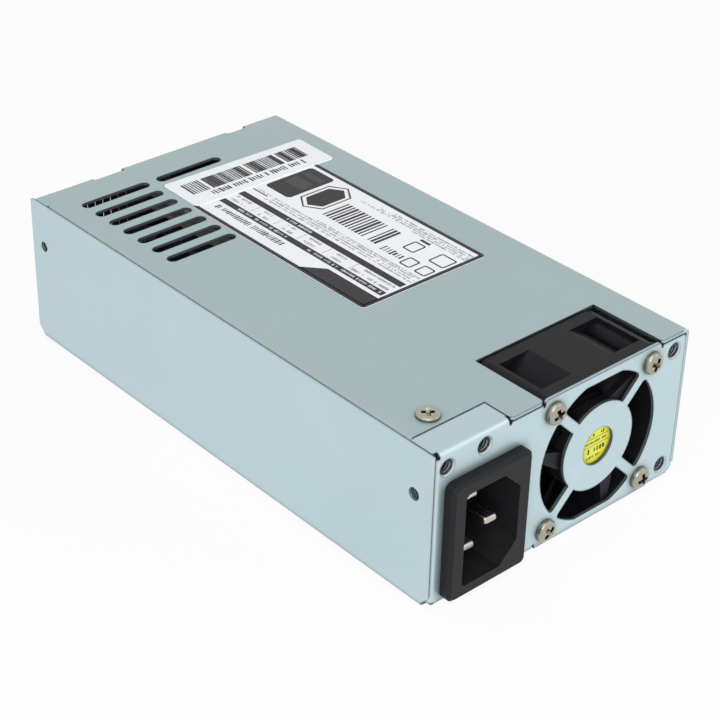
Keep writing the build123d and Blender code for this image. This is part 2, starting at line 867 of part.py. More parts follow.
# Stator core: four poles round the bearing tube
with BuildPart() as fan_stator:
    with BuildSketch(fan_plane(stator_start)):
        Circle(stator_radius)
        Circle(stator_radius - pole_shoe, mode=Mode.SUBTRACT)
        for tilt in (45, -45):
            Rectangle(3 * stator_radius, pole_gap, tilt, mode=Mode.SUBTRACT)
        Circle(fan_tube_radius + pole_shoe)
        Rectangle(2 * stator_radius - pole_shoe, pole_width)
        Rectangle(pole_width, 2 * stator_radius - pole_shoe)
        Circle(fan_tube_radius, mode=Mode.SUBTRACT)
    extrude(amount=-stator_length)
fan_stator.part.label = "fan_stator"
export_step(fan_stator.part, "parts/fan_stator.step")

# Windings on the stator's poles
coil_inner = fan_tube_radius + pole_shoe
coil_outer = stator_radius - pole_shoe - 2 * coil_gap
with BuildPart() as fan_windings:
    with BuildSketch(fan_plane(stator_start - coil_wall)):
        with PolarLocations((coil_inner + coil_outer) / 2 + coil_gap / 2, 4):
            Rectangle(coil_outer - coil_inner - coil_gap, pole_width + 2 * coil_wall)
    extrude(amount=-(stator_length + 2 * coil_wall))
    fillet(fan_windings.edges().filter_by(Axis.Y), radius=coil_gap)
    with BuildSketch(fan_plane(stator_start)):
        Rectangle(3 * stator_radius, pole_width)
        Rectangle(pole_width, 3 * stator_radius)
    extrude(amount=-stator_length, mode=Mode.SUBTRACT)
fan_windings.part.label = "fan_windings"
export_step(fan_windings.part, "parts/fan_windings.step")

# Small circuit board of the fan, on the motor's base
fan_base_end = fan_base_recess + fan_base_thickness
with BuildPart() as fan_board:
    with BuildSketch(fan_plane(fan_base_end)):
        Circle(fan_board_radius)
        Circle(fan_tube_radius, mode=Mode.SUBTRACT)
    extrude(amount=-fan_board_thickness)
fan_board.part.label = "fan_board"
export_step(fan_board.part, "parts/fan_board.step")

# Label on the motor's base, seen through the eye of the grille
with BuildPart() as fan_label:
    with BuildSketch(fan_plane(fan_base_recess - label_thickness)):
        Circle(fan_label_radius)
    extrude(amount=-label_thickness)
fan_label.part.label = "fan_label"
export_step(fan_label.part, "parts/fan_label.step")

# Fan screws: domed heads on the rear panel, shanks in the fan's corner holes
with BuildPart() as fan_screws:
    with BuildSketch(rear_plane()):
        with Locations((fan_x, fan_z)):
            with GridLocations(fan_pitch, fan_pitch, 2, 2):
                Circle(screw_head_radius)
    extrude(amount=screw_head_height)
    domes = fan_screws.edges().filter_by(GeomType.CIRCLE).group_by(Axis.Y)[0]
    fillet(domes, radius=0.75 * screw_head_height)
    with BuildSketch(rear_plane(-screw_head_height)):
        with Locations((fan_x, fan_z)):
            with GridLocations(fan_pitch, fan_pitch, 2, 2):
                Rectangle(cross_span, cross_width)
                Rectangle(cross_width, cross_span)
    extrude(amount=-cross_depth, mode=Mode.SUBTRACT)
    with BuildSketch(rear_plane()):
        with Locations((fan_x, fan_z)):
            with GridLocations(fan_pitch, fan_pitch, 2, 2):
                Circle(fan_shank_radius)
    extrude(amount=-fan_shank_length)
fan_screws.part.label = "fan_screws"
export_step(fan_screws.part, "parts/fan_screws.step")

# Cover screws: one in the top and two in the far panel
with BuildPart() as cover_screws:
    for face, outwards, places in (
        (Plane.XY.offset(case_height), 1, [top_screw_place]),
        (Plane.XZ.offset(-far_y), -1, end_screw_places),
    ):
        with BuildSketch(face):
            with Locations(*places):
                Circle(screw_head_radius)
        extrude(amount=outwards * cover_head_height)
        with BuildSketch(face):
            with Locations(*places):
                Circle(cover_shank_radius)
        extrude(amount=-outwards * cover_shank_length)
        with BuildSketch(face.offset(outwards * cover_head_height)):
            with Locations(*places):
                Rectangle(cross_span, cross_width)
                Rectangle(cross_width, cross_span)
        extrude(amount=-outwards * cross_depth / 2, mode=Mode.SUBTRACT)
    rims = (
        cover_screws.edges()
        .filter_by(GeomType.CIRCLE)
        .filter_by(lambda e: e.radius > cover_hole_radius)
    )
    tops = [
        e for e in rims
        if e.center().Z > case_height + sheet / 2 or e.center().Y > far_y + sheet / 2
    ]
    fillet(tops, radius=0.75 * cover_head_height)
cover_screws.part.label = "cover_screws"
export_step(cover_screws.part, "parts/cover_screws.step")

# Mains inlet: a flange on the rear panel, a socket behind it and two spring catches
with BuildPart() as inlet_housing:
    with BuildSketch(rear_plane()):
        with Locations((inlet_x, inlet_z)):
            RectangleRounded(inlet_width, inlet_height, inlet_corner)
    extrude(amount=inlet_proud)
    front_rim = inlet_housing.faces().sort_by(Axis.Y)[0].edges()
    chamfer(front_rim, length=inlet_edge)
    with BuildSketch(rear_plane()):
        with Locations((inlet_x, inlet_z)):
            RectangleRounded(inlet_body_width, inlet_body_height, inlet_body_corner)
    extrude(amount=-inlet_body_depth)
    # catches behind the panel, above and below
    for side in (1, -1):
        catch_z = inlet_z + side * inlet_body_height / 2
        with BuildSketch(Plane.YZ.offset(inlet_x + catch_offset - catch_width / 2)):
            with BuildLine():
                Polyline(
                    (fan_rear_y + seam, catch_z - side * seam),
                    (fan_rear_y + seam, catch_z + side * catch_rise),
                    (fan_rear_y + catch_length, catch_z - side * seam),
                    close=True,
                )
            make_face()
        extrude(amount=catch_width)
    with BuildSketch(rear_plane(-inlet_proud)) as socket:
        with Locations((inlet_x, inlet_z)):
            Rectangle(socket_width, socket_height)
        chamfer(socket.vertices().group_by(Axis.X)[-1], length=socket_chamfer)
        fillet(socket.vertices().group_by(Axis.X)[0], radius=socket_corner)
    extrude(
        amount=-(inlet_proud + inlet_body_depth - socket_floor), mode=Mode.SUBTRACT
    )
    with BuildSketch(rear_plane()):
        with Locations(*power_pins, earth_pin):
            Rectangle(pin_width, pin_thickness)
    extrude(amount=-inlet_body_depth, mode=Mode.SUBTRACT)
inlet_housing.part.label = "inlet_housing"
export_step(inlet_housing.part, "parts/inlet_housing.step")

# Blades of the inlet: line and neutral side by side, earth nearer the fan and longer
for name, places, below in (
    ("inlet_power_pins", power_pins, power_pin_below),
    ("inlet_earth_pin", [earth_pin], earth_pin_below),
):
    with BuildPart() as pins:
        with BuildSketch(rear_plane(below - inlet_proud)):
            with Locations(*places):
                Rectangle(pin_width, pin_thickness)
        extrude(amount=-(inlet_body_depth + inlet_proud - below))
        tips = pins.faces().group_by(Axis.Y)[0].edges()
        chamfer(tips, length=pin_thickness / 4)
        with BuildSketch(rear_plane(inlet_body_depth)):
            with Locations(*places):
                Rectangle(tail_width, tail_thickness)
        extrude(amount=-tail_length)
    pins.part.label = name
    export_step(pins.part, f"parts/{name}.step")

# Circuit board on the standoffs
with BuildPart() as circuit_board:
    with BuildSketch(Plane.XY.offset(board_bottom)):
        with Locations((board_x, board_y)):
            RectangleRounded(board_width, board_length, board_round)
            with GridLocations(board_hole_pitch_x, board_hole_pitch_y, 2, 2):
                Circle(board_hole_radius, mode=Mode.SUBTRACT)
    extrude(amount=board_thickness)
circuit_board.part.label = "circuit_board"
export_step(circuit_board.part, "parts/circuit_board.step")

with BuildPart() as board_screws:
    with BuildSketch(Plane.XY.offset(board_top)):
        with Locations((board_x, board_y)):
            with GridLocations(board_hole_pitch_x, board_hole_pitch_y, 2, 2):
                Circle(board_head_radius)
    extrude(amount=board_head_height)
    rims = board_screws.edges().group_by(Axis.Z)[-1]
    fillet(rims, radius=board_head_height / 2)
    with BuildSketch(Plane.XY.offset(board_top)):
        with Locations((board_x, board_y)):
            with GridLocations(board_hole_pitch_x, board_hole_pitch_y, 2, 2):
                Circle(board_shank_radius)
    extrude(amount=-(board_thickness + standoff_height))
board_screws.part.label = "board_screws"
export_step(board_screws.part, "parts/board_screws.step")

# Insulating film between the board and the case: over the floor and up the left wall
with BuildPart() as insulating_film:
    film_left = left_x + bend_radius + seam
    film_right = board_right
    with BuildSketch(Plane.XY.offset(floor_top)):
        with Locations(((film_left + film_right) / 2, board_y)):
            Rectangle(film_right - film_left, board_length)
        with Locations((board_x, board_y)):
            with GridLocations(board_hole_pitch_x, board_hole_pitch_y, 2, 2):
                Circle(standoff_radius + seam, mode=Mode.SUBTRACT)
    extrude(amount=film)
    with BuildSketch(Plane.XY.offset(floor_top)):
        with Locations((film_left + film / 2, board_y)):
            Rectangle(film, board_length)
    extrude(amount=film_rise)
insulating_film.part.label = "insulating_film"
export_step(insulating_film.part, "parts/insulating_film.step")


def on_board(height=0.0):
    """A level plane above the board's upper side."""
    return Plane.XY.offset(board_top + height)


# Fuse in two clips
with BuildPart() as fuse:
    fuse_end = fuse_place[1] - fuse_length / 2
    with BuildSketch(Plane.XZ.offset(-fuse_end)):
        with Locations((fuse_place[0], board_top + fuse_height)):
            Circle(fuse_radius - sheet / 2)
    extrude(amount=-fuse_length)
    for y in (fuse_end, fuse_end + fuse_length - fuse_cap):
        with BuildSketch(Plane.XZ.offset(-y)):
            with Locations((fuse_place[0], board_top + fuse_height)):
                Circle(fuse_radius)
        extrude(amount=-fuse_cap)
fuse.part.label = "fuse"
export_step(fuse.part, "parts/fuse.step")

with BuildPart() as fuse_clips:
    for y in (fuse_end, fuse_end + fuse_length - fuse_cap):
        with BuildSketch(Plane.XZ.offset(-y)):
            with Locations((fuse_place[0], board_top + fuse_height / 2)):
                Rectangle(2 * fuse_radius + 2 * clip_sheet, fuse_height)
            with Locations((fuse_place[0], board_top + fuse_height)):
                Circle(fuse_radius, mode=Mode.SUBTRACT)
            with Locations((fuse_place[0], board_top + clip_sheet + fuse_radius)):
                Rectangle(2 * fuse_radius, 2 * fuse_radius, mode=Mode.SUBTRACT)
        extrude(amount=-fuse_cap)
fuse_clips.part.label = "fuse_clips"
export_step(fuse_clips.part, "parts/fuse_clips.step")

# Ring cores with their windings, lying on the board
for name, place, outer, hole, height, base in (
    ("line_choke", *line_choke_size),
    ("boost_choke", *boost_choke_size),
    ("output_choke", *output_choke_size),
):
    with BuildPart() as choke:
        with BuildSketch(Plane.XZ.offset(-place[1])):
            middle = place[0] + (outer + hole) / 2
            with Locations((middle, board_top + base + height / 2)):
                RectangleRounded(outer - hole, height, choke_round)
        revolve(axis=Axis((*place, 0), (0, 0, 1)))
        with BuildSketch(on_board()):
            with Locations(place):
                RectangleRounded(1.6 * outer, 1.6 * outer, choke_round)
        extrude(amount=base)
    choke.part.label = name
    export_step(choke.part, f"parts/{name}.step")

# Box-shaped film capacitors
for name, place, width, depth, height in (
    ("line_capacitor", *line_capacitor_size),
    ("boost_capacitor", *boost_capacitor_size),
    ("relay", *relay_size),
):
    with BuildPart() as block:
        with BuildSketch(on_board()):
            with Locations(place):
                RectangleRounded(width, depth, sheet)
        extrude(amount=height)
        fillet(block.edges().group_by(Axis.Z)[-1], radius=sheet / 2)
    block.part.label = name
    export_step(block.part, f"parts/{name}.step")

# Disc capacitors
with BuildPart() as disc_capacitors:
    for place in disc_places:
        with BuildSketch(Plane.XZ.offset(-(place[1] - disc_thickness / 2))):
            with Locations((place[0], board_top + disc_radius + sheet)):
                Circle(disc_radius)
            with Locations((place[0], board_top + disc_radius / 2)):
                Rectangle(disc_radius, disc_radius)
        extrude(amount=-disc_thickness)
disc_capacitors.part.label = "disc_capacitors"
export_step(disc_capacitors.part, "parts/disc_capacitors.step")

# Bulk capacitor, lying along the case
with BuildPart() as bulk_capacitor:
    bulk_start = bulk_place[1] - bulk_length / 2
    with BuildSketch(Plane.XZ.offset(-bulk_start)):
        with Locations((bulk_place[0], board_top + bulk_radius)):
            Circle(bulk_radius)
    extrude(amount=-bulk_length)
    fillet(bulk_capacitor.edges().filter_by(GeomType.CIRCLE), radius=2 * sheet)
    with BuildSketch(Plane.XZ.offset(-(bulk_start + bulk_groove))):
        with Locations((bulk_place[0], board_top + bulk_radius)):
            Circle(bulk_radius + sheet)
            Circle(bulk_radius - sheet / 2, mode=Mode.SUBTRACT)
    extrude(amount=-sheet, mode=Mode.SUBTRACT)
bulk_capacitor.part.label = "bulk_capacitor"
export_step(bulk_capacitor.part, "parts/bulk_capacitor.step")

# Upright can capacitors of the outputs
with BuildPart() as output_capacitors:
    with BuildSketch(on_board()):
        with Locations(*can_places):
            Circle(can_radius)
    extrude(amount=can_height)
    fillet(output_capacitors.edges().group_by(Axis.Z)[-1], radius=sheet / 2)
output_capacitors.part.label = "output_capacitors"
export_step(output_capacitors.part, "parts/output_capacitors.step")

# Transformers: a wound bobbin inside a ferrite core
for name, place, width, depth, height, leg in (
    ("main_transformer", *main_transformer_size),
    ("standby_transformer", *standby_transformer_size),
):
    with BuildPart() as core:
        with BuildSketch(Plane.YZ.offset(place[0] - width / 2)):
            with Locations((place[1], board_top + foot + height / 2)):
                Rectangle(depth, height)
                Rectangle(depth - 2 * leg, height - 2 * leg, mode=Mode.SUBTRACT)
                Rectangle(2 * leg, height)
        extrude(amount=width)
    core.part.label = f"{name}_core"
    export_step(core.part, f"parts/{name}_core.step")
    with BuildPart() as winding:
        with BuildSketch(on_board(foot + leg)):
            with Locations(place):
                RectangleRounded(width + 2 * leg, depth - 2 * leg, leg / 2)
        extrude(amount=height - 2 * leg)
        with BuildSketch(Plane.YZ.offset(place[0] - width / 2)):
            with Locations((place[1], board_top + foot + height / 2)):
                Rectangle(2 * leg, height)
        extrude(amount=width, mode=Mode.SUBTRACT)
        for side in (1, -1):
            with BuildSketch(on_board()):
                with Locations((place[0] + side * (width + leg) / 2, place[1])):
                    Rectangle(leg, depth - 2 * leg)
            extrude(amount=foot + leg)
    winding.part.label = f"{name}_winding"
    export_step(winding.part, f"parts/{name}_winding.step")

# Heatsinks: upright plates with fins along the air flow
for name, (x, start), length, height in (
    ("primary_heatsink", *primary_heatsink_size),
    ("secondary_heatsink", *secondary_heatsink_size),
):
    with BuildPart() as heatsink:
        with BuildSketch(Plane.XZ.offset(-start)):
            with Locations((x, board_top + height / 2)):
                Rectangle(heatsink_plate, height)
            for k in range(fin_count):
                fin_z = board_top + height - fin_thickness / 2 - k * fin_pitch
                with Locations((x - fin_reach / 2, fin_z)):
                    Rectangle(fin_reach, fin_thickness)
        extrude(amount=-length)
    heatsink.part.label = name
    export_step(heatsink.part, f"parts/{name}.step")

# Flat packages screwed to the heatsinks: rectifier bridge, switches and output diodes
for name, face_x, side, starts, package_z, body in (
    ("bridge_rectifier", primary_face, -1, bridge_starts, package_bottom, bridge_size),
    ("power_switches", primary_face, -1, switch_starts, package_bottom, switch_size),
    ("output_rectifiers", secondary_face, 1, rectifier_starts, package_bottom, switch_size),
):
    length, height, thickness = body
    with BuildPart() as package:
        for start in starts:
            with BuildSketch(Plane.YZ.offset(face_x)):
                with Locations((start + length / 2, package_z + height / 2)):
                    Rectangle(length, height)
            extrude(amount=side * thickness)
            with BuildSketch(Plane.YZ.offset(face_x + side * thickness / 2)):
                for step in (-1, 0, 1):
                    with Locations(
                        (
                            start + length / 2 + step * length / 4,
                            (board_top + package_z) / 2,
                        )
                    ):
                        Rectangle(sheet, package_z - board_top)
            extrude(amount=side * sheet / 2)
    package.part.label = name
    export_step(package.part, f"parts/{name}.step")

# Control board standing on its edge, with its chips
with BuildPart() as control_board:
    with BuildSketch(Plane.YZ.offset(control_x)):
        with Locations(
            (control_start + control_length / 2, board_top + control_height / 2)
        ):
            Rectangle(control_length, control_height)
    extrude(amount=board_thickness)
    with BuildSketch(Plane.YZ.offset(control_x)):
        for k in range(control_chips):
            with Locations(
                (
                    control_start + (k + 0.5) * control_length / control_chips,
                    board_top + control_height / 2,
                )
            ):
                Rectangle(control_length / control_chips / 2, control_height / 3)
    extrude(amount=-board_thickness)
control_board.part.label = "control_board"
export_step(control_board.part, "parts/control_board.step")

# Posts that the output leads are soldered to
with BuildPart() as output_posts:
    with BuildSketch(on_board()):
        with Locations(posts_place):
            with GridLocations(post_pitch, post_pitch, post_columns, post_rows):
                Circle(post_radius)
    extrude(amount=post_height)
output_posts.part.label = "output_posts"
export_step(output_posts.part, "parts/output_posts.step")

# Earth screw and ring terminal on the floor
with BuildPart() as earth_screw:
    with BuildSketch(Plane.XY.offset(floor_top + ring_thickness)):
        with Locations(earth_place):
            Circle(board_head_radius)
    extrude(amount=board_head_height)
    fillet(earth_screw.edges().group_by(Axis.Z)[-1], radius=board_head_height / 2)
    with BuildSketch(Plane.XY.offset(floor_top + ring_thickness)):
        with Locations(earth_place):
            Circle(board_shank_radius)
    extrude(amount=-(floor_top + ring_thickness - 2 * seam))
earth_screw.part.label = "earth_screw"
export_step(earth_screw.part, "parts/earth_screw.step")

with BuildPart() as earth_terminal:
    with BuildSketch(Plane.XY.offset(floor_top)):
        with Locations(earth_place):
            Circle(ring_radius)
        with Locations((earth_place[0] - ring_tongue / 2, earth_place[1])):
            Rectangle(ring_tongue, ring_tongue_width)
        with Locations(earth_place):
            Circle(standoff_hole_radius, mode=Mode.SUBTRACT)
    extrude(amount=ring_thickness)
earth_terminal.part.label = "earth_terminal"
export_step(earth_terminal.part, "parts/earth_terminal.step")

# Header and plug of the fan's lead on the board
with BuildPart() as fan_header:
    with BuildSketch(on_board()):
        with Locations(fan_plug_place):
            Rectangle(
                fan_plug_width + 2 * fan_header_wall,
                fan_plug_depth + 2 * fan_header_wall,
            )
    extrude(amount=fan_plug_height / 2)
    with BuildSketch(on_board(fan_header_wall)):
        with Locations(fan_plug_place):
            Rectangle(fan_plug_width, fan_plug_depth)
    extrude(amount=fan_plug_height, mode=Mode.SUBTRACT)
fan_header.part.label = "fan_header"
export_step(fan_header.part, "parts/fan_header.step")

with BuildPart() as fan_plug:
    with BuildSketch(on_board(fan_header_wall)):
        with Locations(fan_plug_place):
            Rectangle(fan_plug_width - seam, fan_plug_depth - seam)
    extrude(amount=fan_plug_height)
    chamfer(fan_plug.edges().group_by(Axis.Z)[-1], length=fan_header_wall)
fan_plug.part.label = "fan_plug"
export_step(fan_plug.part, "parts/fan_plug.step")

# Leads: round wires along straight runs joined by arcs
fan_lead_x = fan_x + fan_size / 2 - fan_channel_width / 2
fan_lead_z = fan_z + fan_size / 2 - fan_channel_depth + fan_lead_radius
earth_run_y = board_start - 2 * earth_lead_radius
earth_run_z = floor_top + ring_thickness + earth_lead_radius
leads = [
    (
        "earth_lead",
        earth_lead_radius,
        earth_lead_bend,
        [
            (earth_pin[0], tail_end_y, earth_pin[1]),
            (earth_pin[0], earth_run_y, earth_pin[1]),
            (earth_pin[0], earth_run_y, earth_run_z),
            (earth_place[0] - ring_tongue / 2, earth_place[1], earth_run_z),
        ],
    ),
    (
        "fan_lead",
        fan_lead_radius,
        fan_lead_bend,
        [
            (fan_lead_x, fan_rear_y + fan_channel_start, fan_lead_z),
            (fan_lead_x, fan_plug_place[1], fan_lead_z),
            (fan_plug_place[0], fan_plug_place[1], fan_lead_z),
            (*fan_plug_place, board_top + fan_header_wall + fan_plug_height),
        ],
    ),
]
for name, (pin_x, pin_z), landing, bend in zip(
    ("line_lead", "neutral_lead"), power_pins, power_landings, power_lead_bends
):
    route = [
        (pin_x, tail_end_y, pin_z),
        (pin_x, landing, pin_z),
        (pin_x, landing, board_top),
    ]
    leads.append((name, power_lead_radius, bend, route))

for name, radius, bend, route in leads:
    with BuildPart() as lead:
        with BuildLine() as path:
            FilletPolyline(*route, radius=bend)
        with BuildSketch(Plane(origin=path.line @ 0, z_dir=path.line % 0)):
            Circle(radius)
        sweep()
    lead.part.label = name
    export_step(lead.part, f"parts/{name}.step")

# Labels stuck on the cover; the second overlaps the first
with BuildPart() as rating_label:
    with BuildSketch(Plane.XY.offset(case_height)):
        with Locations(Location((*rating_place, 0), (0, 0, rating_turn))):
            RectangleRounded(rating_width, rating_length, label_round)
    extrude(amount=label_thickness)
rating_label.part.label = "rating_label"
export_step(rating_label.part, "parts/rating_label.step")

with BuildPart() as serial_label:
    with BuildSketch(Plane.XY.offset(case_height)):
        with Locations(Location((*serial_place, 0), (0, 0, serial_turn))):
            RectangleRounded(serial_width, serial_length, label_round)
    extrude(amount=2 * label_thickness)
    add(rating_label.part, mode=Mode.SUBTRACT)
serial_label.part.label = "serial_label"
export_step(serial_label.part, "parts/serial_label.step")
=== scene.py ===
import json
import math

import bmesh
import bpy
from mathutils import Matrix, Vector


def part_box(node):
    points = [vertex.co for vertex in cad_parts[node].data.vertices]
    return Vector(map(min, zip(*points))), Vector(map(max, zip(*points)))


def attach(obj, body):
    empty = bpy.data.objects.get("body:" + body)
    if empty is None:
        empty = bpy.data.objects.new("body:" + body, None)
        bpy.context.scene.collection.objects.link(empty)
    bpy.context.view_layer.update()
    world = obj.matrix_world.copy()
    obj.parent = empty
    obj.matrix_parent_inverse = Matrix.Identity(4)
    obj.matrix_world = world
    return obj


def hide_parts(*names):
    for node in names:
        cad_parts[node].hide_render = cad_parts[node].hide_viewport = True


# One-unit power supply. The solids come from the frame, in metres, with the rear panel towards -Y.
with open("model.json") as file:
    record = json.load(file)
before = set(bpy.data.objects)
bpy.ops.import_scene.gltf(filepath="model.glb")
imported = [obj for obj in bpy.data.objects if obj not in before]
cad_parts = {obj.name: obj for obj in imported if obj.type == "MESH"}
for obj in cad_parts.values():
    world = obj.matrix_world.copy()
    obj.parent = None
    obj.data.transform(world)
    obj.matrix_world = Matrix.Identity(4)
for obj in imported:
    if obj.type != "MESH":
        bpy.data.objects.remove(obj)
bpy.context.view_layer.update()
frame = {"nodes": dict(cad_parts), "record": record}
nodes = frame["nodes"]
mm = 0.001
caseWidth = 81.5  # mm
rearEdge = 74.1  # mm, from the rear panel to the middle of the box
print("frame loaded:", len(nodes), "nodes")


def spot(fromLeft, fromRear):
    return Vector((fromLeft - caseWidth / 2, fromRear - rearEdge, 0.0)) * mm


def linked(name, data):
    item = bpy.data.objects.new(name, data)
    bpy.context.scene.collection.objects.link(item)
    return item


# Camera

photoCamera = {
    "imageSize": 720,
    "focalPixels": 1925.9,
    "axisPixel": (342.2, 336.2),
    "place": (-0.27175, -0.3046, 0.270),
    "forward": (0.5666, 0.6363, -0.5236),
    "right": (0.7533, -0.6574, 0.0163),
    "sensor": 36.0,
    "clip": (0.01, 20.0),
}


def addCamera(values):
    data = bpy.data.cameras.new("photoCamera")
    data.sensor_width = values["sensor"]
    data.lens = values["focalPixels"] / values["imageSize"] * values["sensor"]
    middle = values["imageSize"] / 2
    data.shift_x = (middle - values["axisPixel"][0]) / values["imageSize"]
    data.shift_y = (values["axisPixel"][1] - middle) / values["imageSize"]
    data.clip_start, data.clip_end = values["clip"]
    forward = Vector(values["forward"]).normalized()
    right = Vector(values["right"])
    right = (right - forward * right.dot(forward)).normalized()
    turn = Matrix((right, right.cross(forward), -forward)).transposed().to_4x4()
    camera = linked("photoCamera", data)
    camera.matrix_world = Matrix.Translation(values["place"]) @ turn
    bpy.context.scene.camera = camera


addCamera(photoCamera)
print("camera placed")

# Small helpers for node trees

socketTypes = {float: "NodeSocketFloat", int: "NodeSocketInt", tuple: "NodeSocketVector"}


def emptyTree(owner):
    owner.use_nodes = True
    owner.node_tree.nodes.clear()
    return owner.node_tree


def addNode(tree, kind, inputs=None, **settings):
    node = tree.nodes.new(kind)
    for key, value in settings.items():
        setattr(node, key, value)
    for key, value in (inputs or {}).items():
        socket = node.inputs[key]
        if isinstance(value, bpy.types.NodeSocket):
            tree.links.new(value, socket)
        else:
            socket.default_value = value
    return node


def maths(tree, operation, *values, clamp=False):
    inputs = dict(enumerate(values))
    return addNode(tree, "ShaderNodeMath", inputs, operation=operation, use_clamp=clamp).outputs[0]


def times(tree, first, second, clamp=False):
    return maths(tree, "MULTIPLY", first, second, clamp=clamp)


def less(tree, first, second, clamp=False):
    return maths(tree, "SUBTRACT", first, second, clamp=clamp)


def above(tree, value, limit):
    return maths(tree, "GREATER_THAN", value, limit)


def vectorMaths(tree, operation, *values):
    return addNode(tree, "ShaderNodeVectorMath", dict(enumerate(values)), operation=operation).outputs


def vector(tree, x, y, z):
    return addNode(tree, "ShaderNodeCombineXYZ", {0: x, 1: y, 2: z}).outputs[0]


def parts(tree, value):
    return addNode(tree, "ShaderNodeSeparateXYZ", {0: value}).outputs


def mapped(tree, value, fromLow, fromHigh, toLow=0.0, toHigh=1.0):
    inputs = {0: value, 1: fromLow, 2: fromHigh, 3: toLow, 4: toHigh}
    return addNode(tree, "ShaderNodeMapRange", inputs).outputs[0]


def mixedColour(tree, factor, first, second):
    colours = [(*value, 1.0) if isinstance(value, tuple) else value for value in (first, second)]
    inputs = {0: factor, 6: colours[0], 7: colours[1]}
    return addNode(tree, "ShaderNodeMix", inputs, data_type="RGBA").outputs[2]


def newGroup(name, inputs, outputs, kind="ShaderNodeTree", outputType=socketTypes[float]):
    tree = bpy.data.node_groups.new(name, kind)
    for label, value in inputs.items():
        typed = isinstance(value, str)  # a socket's type in place of a number
        socketType = value if typed else socketTypes[type(value)]
        socket = tree.interface.new_socket(name=label, in_out="INPUT", socket_type=socketType)
        if not typed:
            socket.default_value = value
    for label in outputs:
        tree.interface.new_socket(name=label, in_out="OUTPUT", socket_type=outputType)
    return tree, tree.nodes.new("NodeGroupInput").outputs, tree.nodes.new("NodeGroupOutput").inputs


# Light and floor

studio = {
    "white": (1.0, 1.0, 1.0, 1.0),
    "worldColour": (0.45, 0.45, 0.45, 1.0),
    "worldWhite": 1.0,  # how white the world is where it is seen
    "floorColour": (0.82, 0.82, 0.82, 1.0),
    "floorWhite": 0.9,
    "floorSize": 6.0,
    "floorDrop": 0.0002,
    "lamps": [
        # name, place, size, power, whether metal mirrors it
        ("overheadLamp", (-0.35, -0.3, 1.3), 1.1, 3.5, True),
        ("keyLamp", (-1.2, -0.95, 0.5), 0.9, 22.0, False),
        ("fillLamp", (0.9, -1.2, 0.4), 0.8, 9.0, False),
        ("edgeLamp", (-1.0, -1.0, 1.2), 0.6, 4.0, True),
        ("foldLamp", (0.75, -0.6, 0.73), 0.3, 0.35, True),
    ],
}


def whiteWhenSeen(tree, lit, white, share):
    path = addNode(tree, "ShaderNodeLightPath").outputs
    seen = maths(tree, "MAXIMUM", path["Is Camera Ray"], path["Is Glossy Ray"])
    seen = maths(tree, "MAXIMUM", seen, path["Is Transmission Ray"])
    inputs = {0: times(tree, seen, share), 1: lit.outputs[0], 2: white.outputs[0]}
    return addNode(tree, "ShaderNodeMixShader", inputs).outputs[0]


def addStudio(values):
    world = bpy.data.worlds.new("studio")
    bpy.context.scene.world = world
    tree = emptyTree(world)
    lit = addNode(tree, "ShaderNodeBackground", {"Color": values["worldColour"]})
    white = addNode(tree, "ShaderNodeBackground", {"Color": values["white"]})
    addNode(tree, "ShaderNodeOutputWorld", {0: whiteWhenSeen(tree, lit, white, values["worldWhite"])})

    material = bpy.data.materials.new("floorPaper")
    tree = emptyTree(material)
    lit = addNode(tree, "ShaderNodeBsdfDiffuse", {"Color": values["floorColour"]})
    white = addNode(tree, "ShaderNodeEmission", {"Color": values["white"]})
    addNode(tree, "ShaderNodeOutputMaterial", {0: whiteWhenSeen(tree, lit, white, values["floorWhite"])})

    half, drop = values["floorSize"] / 2, values["floorDrop"]
    mesh = bpy.data.meshes.new("studioFloor")
    corners = [(x * half, y * half, -drop) for x, y in ((-1, -1), (1, -1), (1, 1), (-1, 1))]
    mesh.from_pydata(corners, [], [(0, 1, 2, 3)])
    mesh.materials.append(material)
    floor = linked("studioFloor", mesh)

    for name, place, size, power, mirrored in values["lamps"]:
        data = bpy.data.lights.new(name, "AREA")
        data.shape = "SQUARE"
        data.size, data.energy = size, power
        lamp = linked(name, data)
        lamp.location = place
        lamp.rotation_euler = (-Vector(place)).to_track_quat("-Z", "Y").to_euler()
        lamp.visible_camera = False
        lamp.visible_glossy = mirrored
    bpy.context.scene.view_settings.view_transform = "Standard"


addStudio(studio)
print("studio lit")

# Shader groups that several finishes share


def objectPlace(tree):
    return addNode(tree, "ShaderNodeTexCoord").outputs["Object"]


def surfaceNormal(tree):
    return addNode(tree, "ShaderNodeNewGeometry").outputs["Normal"]


def noise(tree, place, scale, detail, roughness=0.5):
    inputs = {"Vector": place, "Scale": scale, "Detail": detail, "Roughness": roughness}
    return addNode(tree, "ShaderNodeTexNoise", inputs).outputs[0]


def buildGrain():
    inputs = {"Scale": 200.0, "Stretch": (1, 1, 1), "Fine": 6.0}
    tree, start, end = newGroup("grain", inputs, ["Value", "Fine Value"])
    usual = (0.3, 0.7)  # where nearly all of a noise lies
    place = vectorMaths(tree, "MULTIPLY", objectPlace(tree), start["Stretch"])[0]
    cloudy = noise(tree, place, start["Scale"], 5.0, 0.55)
    tree.links.new(mapped(tree, cloudy, *usual), end["Value"])
    fine = noise(tree, place, times(tree, start["Scale"], start["Fine"]), 3.0, 0.6)
    tree.links.new(mapped(tree, fine, *usual), end["Fine Value"])
    return tree


